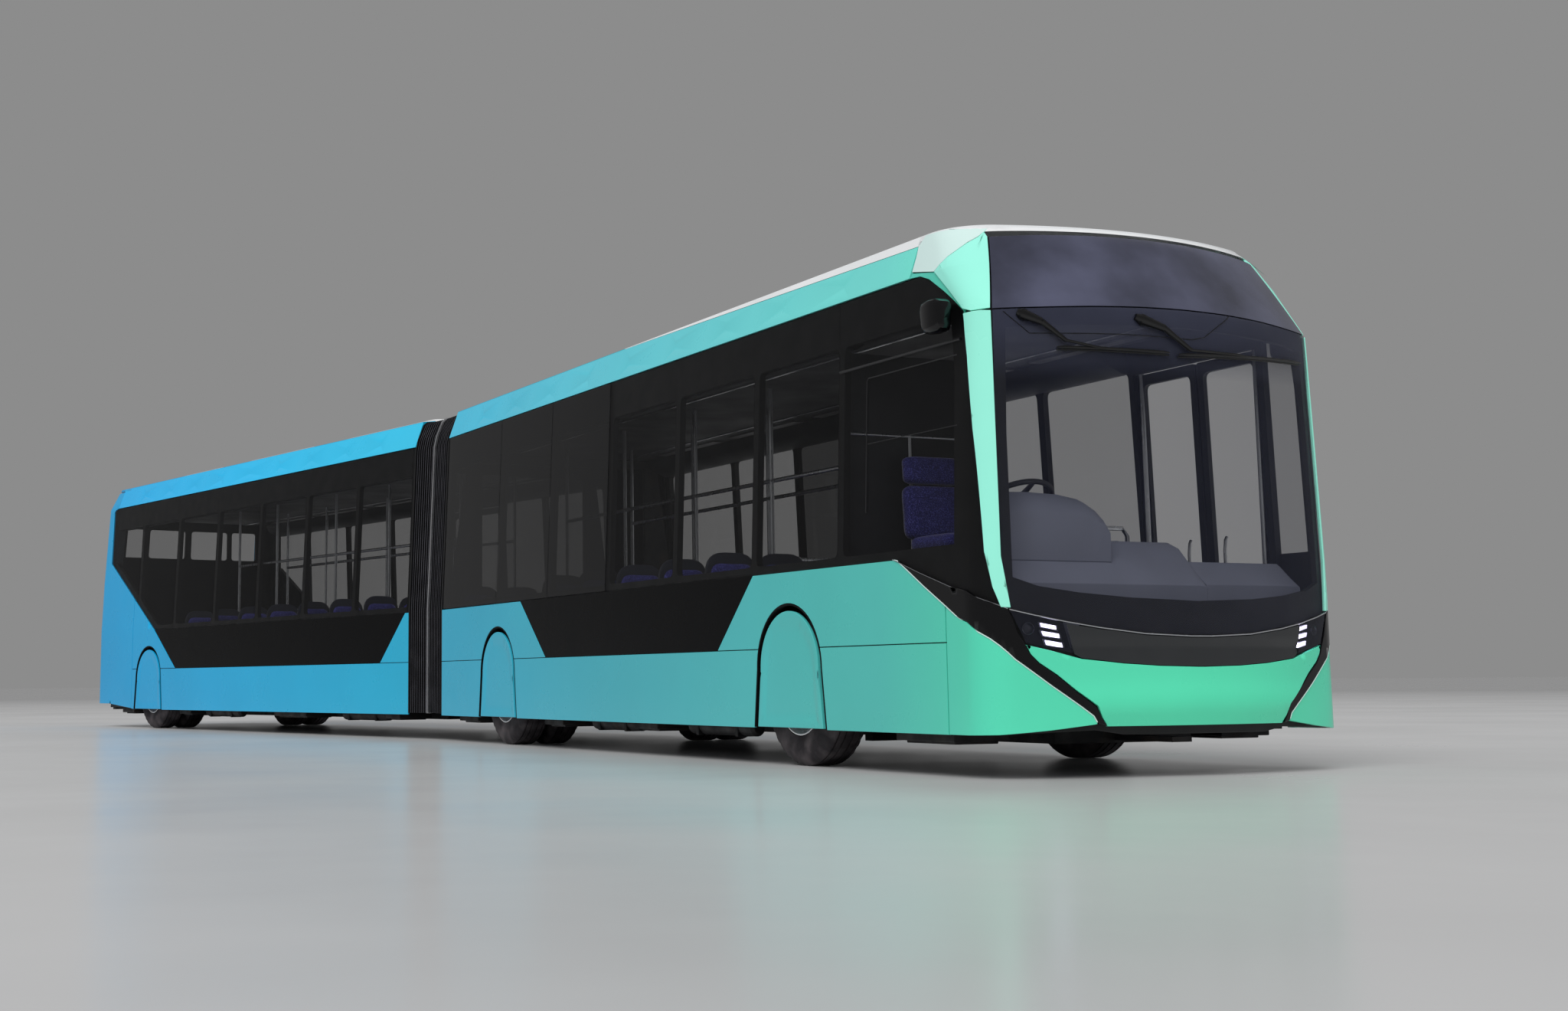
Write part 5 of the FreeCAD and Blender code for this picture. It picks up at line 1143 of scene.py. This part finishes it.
COVER_HEAD = 0.372
for axle, y in AXLES.items():
    steered = axle == "front"

    def swell(s, z, y=y):
        """A cover's plate lies deeper than its raised rim."""
        dy = abs(s - y)
        slant = COVER_HEAD + (ARCH_CENTRE - z) * LEG_SLOPE
        r = math.hypot(dy, z - ARCH_CENTRE) if z > ARCH_CENTRE else dy * COVER_HEAD / slant
        t = min(1, max(0, (COVER_HEAD - 0.045 - r) / 0.03))
        return -0.008 * t * t * (3 - 2 * t)

    for side, tag in SIDE_NAME.items():
        cover = Shape()
        cover.patch(SIDES[side], arch(y, COVER_HEAD - ARCH_HEAD, 0.244, 40), (), 0.022, -0.001,
                    grid=(0.022, 0.05), lift=swell)
        x0, x1 = sorted((side * (half(0.5) - 0.032), side * (half(0.5) - 0.062)))
        for dy in (-0.22, 0.22):
            cover.box((x0, y + dy - 0.03, 0.4), (x1, y + dy + 0.03, 0.46), 1)
        node = f"front_cover_{tag}" if steered else f"{axle}_wheel_covers" if side < 0 else None
        cover.make(f"{axle}_cover_{tag}_plate", [PAINT, STEEL], "body_paint", 0.003, section_of(axle), node,
                   f"steering_knuckle_{tag}" if steered else None)

# ---- doors

LEAF = DOOR_WIDE / 2 - 0.008 - 0.011
for door, y in DOORS.items():
    for which, toward in (("fore", 1), ("aft", -1)):
        leaf = Shape()
        hinge = y if which == "fore" else y + DOOR_WIDE
        start, end = sorted((hinge + toward * 0.008, hinge + toward * (0.008 + LEAF)))
        outer, inner = rect(start, end, 0.344, 2.592, 0.02), rect(start + 0.05, end - 0.05, 0.42, 2.52, 0.05)
        leaf.patch(SIDES[1], outer, [inner], 0.034, -0.006, levels=(BELT,))
        leaf.patch(SIDES[1], shrink(outer, 0.014), (), 0.005, -0.0005, 1, levels=(BELT,))
        seal = hinge + toward * (0.008 + LEAF - 0.0024)
        x0, x1 = half(0.4) - 0.03, half(2.5) - 0.03
        leaf.tube([(x0, seal, 0.36), (x0, seal, BELT), (x1, seal, 2.58)], 0.009, 2, 8)
        post = hinge + toward * 0.038
        leaf.tube([(1.19, post, FLOOR + 0.001), (1.19, post, DOOR_TOP - 0.001)], 0.018, 3, 16)
        a, b = sorted((post, post + toward * 0.06))
        for z in (0.5, 1.15):
            leaf.box((1.19, a, z), (1.238, b, z + 0.04))
        grip = start + LEAF * (0.72 if which == "fore" else 0.28)
        leaf.tube([(x, grip, z) for x, z in ((1.232, 0.95), (1.208, 0.98), (1.205, 1.35), (1.215, 1.42),
                                             (1.228, 1.44))], 0.011, 3)
        leaf.make(f"{door}_{which}_leaf", [FRIT, DOOR_GLASS, SEAL, RAIL], "door_frame", 0.0015,
                  section_of(door), f"{door}_leaf_{which}", f"leaf_{door}_{which}", 1)

# ---- bellows

def bellows_outline(inset):
    """The bellows' outline from its foot on the driver's side over the top."""
    foot, wall = 0.256 + inset * 0.25, 0.014 + inset - HALF_WIDTH
    line = [(-0.86, foot), (wall, foot), (wall, 0.75), (wall, BELT), (wall + 0.032, 2), (wall + 0.066, 2.87),
            (wall + 0.09, 2.98), (wall + 0.155, 3.13 - inset), (-1.07 + inset / 2, 3.163 - inset),
            (-1, 3.172 - inset)]
    top = [(-0.9 + 0.3 * k, 3.182 - inset) for k in range(7)]
    return line + top + [(-x, z) for x, z in reversed(line)]


def bellows_place(t):
    """The bellows' cross plane at a share t of the way across, as the bus stands."""
    half_long = (REAR_START - FRONT_END) / 2 - 0.0005
    start, end = Vector((0, -half_long, 0)), Matrix.Rotation(FOLD, 3, "Z") @ Vector((0, half_long, 0))
    ahead = Matrix.Rotation(FOLD * t, 3, "Z") @ Vector((0, (t * 2 - 1) * half_long, 0))
    middle = (start * (1 - t) + end * t).lerp(ahead, 0.5 * math.sin(math.pi * t))
    return Matrix.Translation(Vector((0, PIVOT, 0)) + middle) @ Matrix.Rotation(FOLD * t, 4, "Z")


def bellows_ring(t, outer, inner):
    place = bellows_place(t)
    return [place @ Vector((x, 0, z)) for x, z in bellows_outline(outer) + bellows_outline(inner)[::-1]]


# share of a fold, how deep it lies there
FOLD_SHAPE = ((0, 0), (0.16, 0), (0.28, 0.01), (0.6, 0.04), (0.9, 0.01))
FOLDS = 18
folds = Shape()
stations = [((k + part) / FOLDS, inset) for k in range(FOLDS) for part, inset in FOLD_SHAPE] + [(1, 0)]
folds.rings([bellows_ring(t, inset, inset + 0.05) for t, inset in stations])
n = len(bellows_outline(0)) * 2
# The crest strip of each fold gets the light grey, a painted highlight along the pleat.
for i in range(0, len(stations) - 1, len(FOLD_SHAPE)):
    folds.paint[i * n:(i + 1) * n] = [3] * n
folds.rings([bellows_ring(t, outer, 0.03)
             for t, outer in ((0.489, 0.002), (0.492, -0.008), (0.508, -0.008), (0.511, 0.002))], 1)
for ends in ((0.001, 0.028), (0.999, 0.972)):
    folds.rings([bellows_ring(t, -0.012, 0.07) for t in ends], 2)
piece = folds.make("bellows_folds", [BELLOWS, HOOP, FRIT, FOLD_HIGHLIGHT], "bellows_fabric", 0, node="bellows",
                   limit=30, ride=False)
start = FRONT @ Vector((0, FRONT_END + 0.03, 0))
end = FRONT @ (Vector((0, PIVOT, 0)) +
               Matrix.Rotation(FOLD, 3, "Z") @ Vector((0, REAR_START - 0.03 - PIVOT, 0)))
tuple(start)
tuple(end)
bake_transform(piece)

# ---- seats

# side, first row, rows, pitch
SEAT_ROWS = {"front": [(-1, 3.25, 5, 0.76), (-1, 8.35, 1, 0.76), (1, 3.25, 1, 0.76), (1, 5.75, 2, 0.76),
                       (1, 8.35, 1, 0.76)],
             "rear": [(-1, 10.75, 7, 0.78), (1, 10.75, 2, 0.7), (1, 13.75, 3, 0.76)]}
SEAT_WIDE, SEAT_TOP, BACK_TOP, SEAT_WALL = 0.42, FLOOR + 0.43, FLOOR + 1.13, HALF_WIDTH - 0.06 - 0.01
UPRIGHT = Matrix.Rotation(math.radians(90), 3, "X")


def seat_shape(pads, shells, x, y):
    """One seat: a crowned cushion, a back pad with a rounded top and seams, in a moulded shell."""
    pads.cushion((x, y + 0.205, SEAT_TOP - 0.033), (0.385, 0.4, 0.06), 0.18, 0.03, across=14, up=8)
    pads.cushion((x, y + 0.437, SEAT_TOP + 0.32), (0.375, 0.62, 0.046), 0.3, 0.05, 0.42, UPRIGHT, 14, 8)
    for z in (SEAT_TOP + 0.18, SEAT_TOP + 0.42):
        pads.tube([(x - 0.15, y + 0.4135, z), (x, y + 0.409, z), (x + 0.15, y + 0.4135, z)], 0.0035, 1, 6)
    line = rect(x - 0.203, x + 0.203, SEAT_TOP - 0.06, BACK_TOP - 0.002, 0.15, 6)
    middle = SEAT_TOP + 0.3
    shells.rings([[(x + (px - x) * k, y + dy, middle + (pz - middle) * k) for px, pz in line]
                  for k, dy in ((0.97, 0.452), (1, 0.458), (1, 0.472), (0.96, 0.486))])


for section, rows in SEAT_ROWS.items():
    pads, shells = Shape(), Shape()
    for side, y in ((side, first + j * pitch) for side, first, count, pitch in rows for j in range(count)):
        def across(near, far):
            """Two places across the bus, counted from the wall and from the aisle."""
            return sorted((side * (SEAT_WALL - near), side * (SEAT_WALL - 2 * SEAT_WIDE + far)))

        for k in (0.5, 1.5):
            seat_shape(pads, shells, side * (SEAT_WALL - SEAT_WIDE * k), y)
        a, b = across(0.01, 0.01)
        shells.box((a, y + 0.04, SEAT_TOP - 0.069), (b, y + 0.425, SEAT_TOP - 0.058))
        a, b = across(0.24, 0.22)
        shells.box((a, y + 0.14, FLOOR + 0.001), (b, y + 0.3, SEAT_TOP - 0.062), 1)
        aisle = side * (SEAT_WALL - 2 * SEAT_WIDE + 0.012)
        shells.tube([(aisle + side * dx, y + dy, z) for dx, dy, z in (
            (0, 0.478, SEAT_TOP + 0.5), (0, 0.482, BACK_TOP - 0.1), (0.03, 0.484, BACK_TOP - 0.03),
            (0.1, 0.484, BACK_TOP - 0.02))], 0.011, 2, 8)
    pads = pads.make(section + "_seat_pads", [CLOTH, SHELL], "seat_fabric", 0, section, section + "_seats",
                     limit=60)
    shells.make(section + "_seat_shells", [SHELL, STEEL, RAIL], "cab_plastic", 0.003, section, segments=1)

# rails along the windows and screens beside the doors
GUARDS = {"front": ((2.05, 4.15), (5.62, 8.9)), "rear": ((10.4, 12.2), (13.6, 17.6))}
for section, spans in GUARDS.items():
    guard = Shape()
    for a, b in spans:
        for z in (1.36, 1.47):
            guard.tube([(1.165, a, z - 0.04), (1.14, a + 0.03, z), (1.14, b - 0.03, z), (1.165, b, z - 0.04)],
                       0.011, sides=8)
        for y, in run((a + 0.03,), (b - 0.03,), 3):
            guard.tube([(1.14, y, 1.34), (1.14, y, 1.48)], 0.009, sides=8)
    for y in in_section(DOORS, section):
        for edge in (y - 0.075, y + DOOR_WIDE + 0.075):
            if edge < 0.7:  # the desk stands here
                continue
            guard.tube([(x, edge, z) for x, z in ((1.1, FLOOR + 0.002), (1.1, 1.5), (1.06, 1.55),
                                                  (0.62, 1.55), (0.58, 1.5), (0.58, FLOOR + 0.002))], 0.016)
            guard.box((0.62, edge - 0.006, FLOOR + 0.12), (1.07, edge + 0.006, 1.46), 1)
    if section == "front":
        for z in (1.02, 1.32):
            guard.tube([(-1.14, 8.26, z), (-0.36, 8.26, z)], 0.016)
    guard.make(section + "_guard_rails", [RAIL, SHELL], "handrail", 0, section)

# ---- the cab

def moulding(shape, stations, profile, above):
    """A moulding along x from (y, z) points; each station lowers what lies above a height."""
    tall = max(z for _, z in profile) - above
    shape.rings([[(x, y, z - drop * max(0, z - above) / tall) for y, z in profile] for x, drop in stations])


desk = Shape()
moulding(desk, ((-1.079, 0.02), (-1.06, 0), (-0.5, 0), (0, 0), (0.3, 0), (0.345, 0.02), (0.359, 0.05)),
         ((0.335, 0.332), (0.695, 0.332), (0.697, 1.26), (0.687, 1.3), (0.655, 1.33), (0.6, 1.347),
          (0.55, 1.325), (0.45, 1.21), (0.36, 1.11), (0.335, 1.078)), 1)
moulding(desk, ((0.361, 0), (0.7, 0), (1.05, 0), (1.079, 0.02)),
         ((0.335, 0.905), (0.545, 0.905), (0.558, 0.93), (0.559, 1.19), (0.545, 1.218), (0.5, 1.228),
          (0.42, 1.15), (0.345, 1.085)), 1)
moulding(desk, ((-1.059, 0.05), (-1.02, 0.02), (-0.9, 0.006), (-0.72, 0), (-0.5, 0.008), (-0.36, 0.03),
                (-0.28, 0.08), (-0.242, 0.16)),
         ((0.445, 1.21), (0.688, 1.21), (0.688, 1.5), (0.682, 1.56), (0.66, 1.6), (0.6, 1.618),
          (0.53, 1.585), (0.46, 1.51), (0.443, 1.47)), 1.25)
desk.box((-0.8, 0.686, 1.36), (-0.44, 0.696, 1.52), 1)
for k in range(6):
    desk.box((-0.16 + 0.06 * k, 0.69, 1.16), (-0.12 + 0.06 * k, 0.703, 1.19), 1)
desk.tube([(-0.98, 0.68, 1.42), (-0.98, 0.7, 1.42)], 0.02, 1, 12)
desk.make("cab_desk", [DESK, GLOSS], "cab_plastic", 0.004, node="dashboard")

wheel = Shape()
wheel.rings([[(c * (0.225 + 0.0165 * p), s * (0.225 + 0.0165 * p), 0.0165 * q) for p, q in circle(12)]
             for c, s in circle(48)], closed=True)
wheel.lathe([(-0.018, 0.05), (0.004, 0.052), (0.01, 0.042), (0.0115, 0.001)], "Z", steps=36, paint=1)
for x, y in ((-1, 0), (1, 0), (0, -1)):
    wheel.tube([(0.045 * x, 0.045 * y, -0.004), (0.212 * x, 0.212 * y, 0)], [0.02, 0.013], 1)
wheel.tube([(0, 0, -0.015), (0, 0, -0.2)], [0.045, 0.034], 1, 16)
wheel.move(Matrix.Rotation(math.radians(-28), 3, "X"), Vector((-0.62, 0.84, 1.58)))
wheel.make("cab_steering_wheel", [PLASTIC, SHELL], "cab_plastic", 0, node="steering_wheel")

chair, base, screens, bulkhead, panes = (Shape() for _ in range(5))
lean = Matrix.Rotation(math.radians(86), 3, "X")
chair.cushion((-0.62, 1.42, 1.375), (0.47, 0.46, 0.105), 0.12, 0.03)
chair.cushion((-0.62, 1.687, 1.585), (0.45, 0.36, 0.1), 0.1, 0.05, 0.35, lean)
chair.cushion((-0.62, 1.694, 1.853), (0.43, 0.18, 0.09), 0.1, 0.03, 0.35, lean)
base.box((-0.76, 1.27, 0.881), (-0.48, 1.57, 1.02))
base.tube([(-0.62, 1.42, 1.01), (-0.62, 1.42, 1.18)], [0.1, 0.07], 0, 20)
base.box((-0.84, 1.2, 1.26), (-0.4, 1.64, 1.328))
base.box((-0.76, 1.24, 1.16), (-0.48, 1.6, 1.26))
base.box((-1.205, 0.722, FLOOR + 0.001), (-0.242, 1.799, 0.878), 1)
for x in (-1, -0.48):
    base.box((x, 0.75, 0.878), (x + 0.08, 0.95, 0.8795), 2)
chair = chair.make("driver_pads", [CLOTH], "seat_fabric", 0, node="driver_seat", limit=60)
base.make("driver_seat_base", [PLASTIC, SHELL, FRIT], "cab_plastic", 0.01)

screens.box((-1.21, 1.802, FLOOR + 0.001), (-0.202, 1.838, 1.05))
screens.box((-0.238, 1.052, FLOOR + 0.001), (-0.202, 1.8, 1.02))
for x in (-0.22, -0.7):
    screens.tube([(x, 1.82, 1.04), (x, 1.82, 2.095)], 0.014, 1, 12)
screens.tube([(-0.22, 1.82, 2.085), (-1.15, 1.82, 2.085)], 0.012, 1, 12)
screens.tube([(-0.22, 1.06, 1.02), (-0.22, 1.06, 1.385), (-0.22, 1.8, 1.385)], 0.014, 1, 12)
screens.make("cab_screens", [PLASTIC, RAIL], "cab_plastic", 0.004, node="cab_partition")
bulkhead.rings([[(x, y, z) for x, z in rect(-1.17, -0.235, 1.055, 2.6, 0.05)] for y in (1.812, 1.828)])
bulkhead.make("cab_bulkhead", PLASTIC, "cab_plastic", 0.003)
panes.box((-0.223, 1.075, 1.025), (-0.217, 1.8, 1.372))
panes.make("cab_screen_panes", [SCREEN], "glass", 0.001, segments=1)

# ---- floor, light and camera

def put(name, data, matrix=None):
    obj = bpy.data.objects.new(name, data)
    bpy.context.scene.collection.objects.link(obj)
    if matrix is not None:
        obj.matrix_world = matrix
    return obj


mesh = bpy.data.meshes.new("studio_floor")
mesh.from_pydata([(x, y, -0.0005) for x, y in rect(-400, 400, -400, 400)], [], [(0, 1, 2, 3)])
f = Finish("studio_floor", 0.3, Specular_IOR_Level=0.16)
away = f.node("VectorMath", {0: f.place}, operation="LENGTH").outputs["Value"]
# Lighter round the bus and darker far off, down to the backdrop's grey: the fall-off of the studio light,
# painted into the floor's colour.
f.vary(f.mix(f.remap(away, 0, 1, 12, 60), linear(198, 198, 198), linear(146, 146, 146)), 0.05, 0.02)
f.uneven(0.2, 0.28, 0.4)
mesh.materials.append(f.relief(f.noise(3, 2), 0.02, 0.001))
put("studio_floor", mesh)

# the sky lights the bus with one grey and shows another to the camera, in mirrors and through glass
world = bpy.data.worlds.new("studio")
bpy.context.scene.world = world
world.use_nodes = True
tree = world.node_tree
ray = add_node(tree, "ShaderNodeLightPath").outputs
seen = add_node(tree, "ShaderNodeMath", {0: ray["Is Camera Ray"], 1: ray["Is Glossy Ray"]},
                operation="MAXIMUM")
seen = add_node(tree, "ShaderNodeMath", {0: seen.outputs[0], 1: ray["Is Transmission Ray"]},
                operation="MAXIMUM")
greys = {6: (0.58, 0.58, 0.59, 1), 7: linear(140, 140, 140)}
choose = add_node(tree, "ShaderNodeMix", {0: seen.outputs[0], **greys}, data_type="RGBA")
tree.links.new(choose.outputs[2], tree.nodes["Background"].inputs["Color"])

data = bpy.data.lights.new("key", "SUN")
data.energy, data.angle = 2.05, math.radians(40)
key = put("key", data)
key.location = (-8, -7.4, 12.5)
key.rotation_euler = (-key.location).to_track_quat("-Z", "Y").to_euler()
key.visible_glossy = False

YAW, PITCH, ROLL = (math.radians(v) for v in (24.2626, 7.6005, -0.4123))
forward = Vector((math.sin(YAW) * math.cos(PITCH), math.cos(YAW) * math.cos(PITCH), math.sin(PITCH)))
level = Vector((math.cos(YAW), -math.sin(YAW), 0))
up = level.cross(forward)
camera_x = level * math.cos(ROLL) + up * math.sin(ROLL)
camera_y = up * math.cos(ROLL) - level * math.sin(ROLL)
place = Matrix((camera_x, camera_y, -forward)).transposed().to_4x4()
place.translation = FRONT @ Vector((-7.5124, -8.4887, 0.5458))
data = bpy.data.cameras.new("camera")
data.lens, data.sensor_width, data.shift_x, data.shift_y = 44.11, 36, 0.11725, -0.05116
bpy.context.scene.camera = put("camera", data, place)
bpy.context.scene.view_settings.view_transform = "Standard"
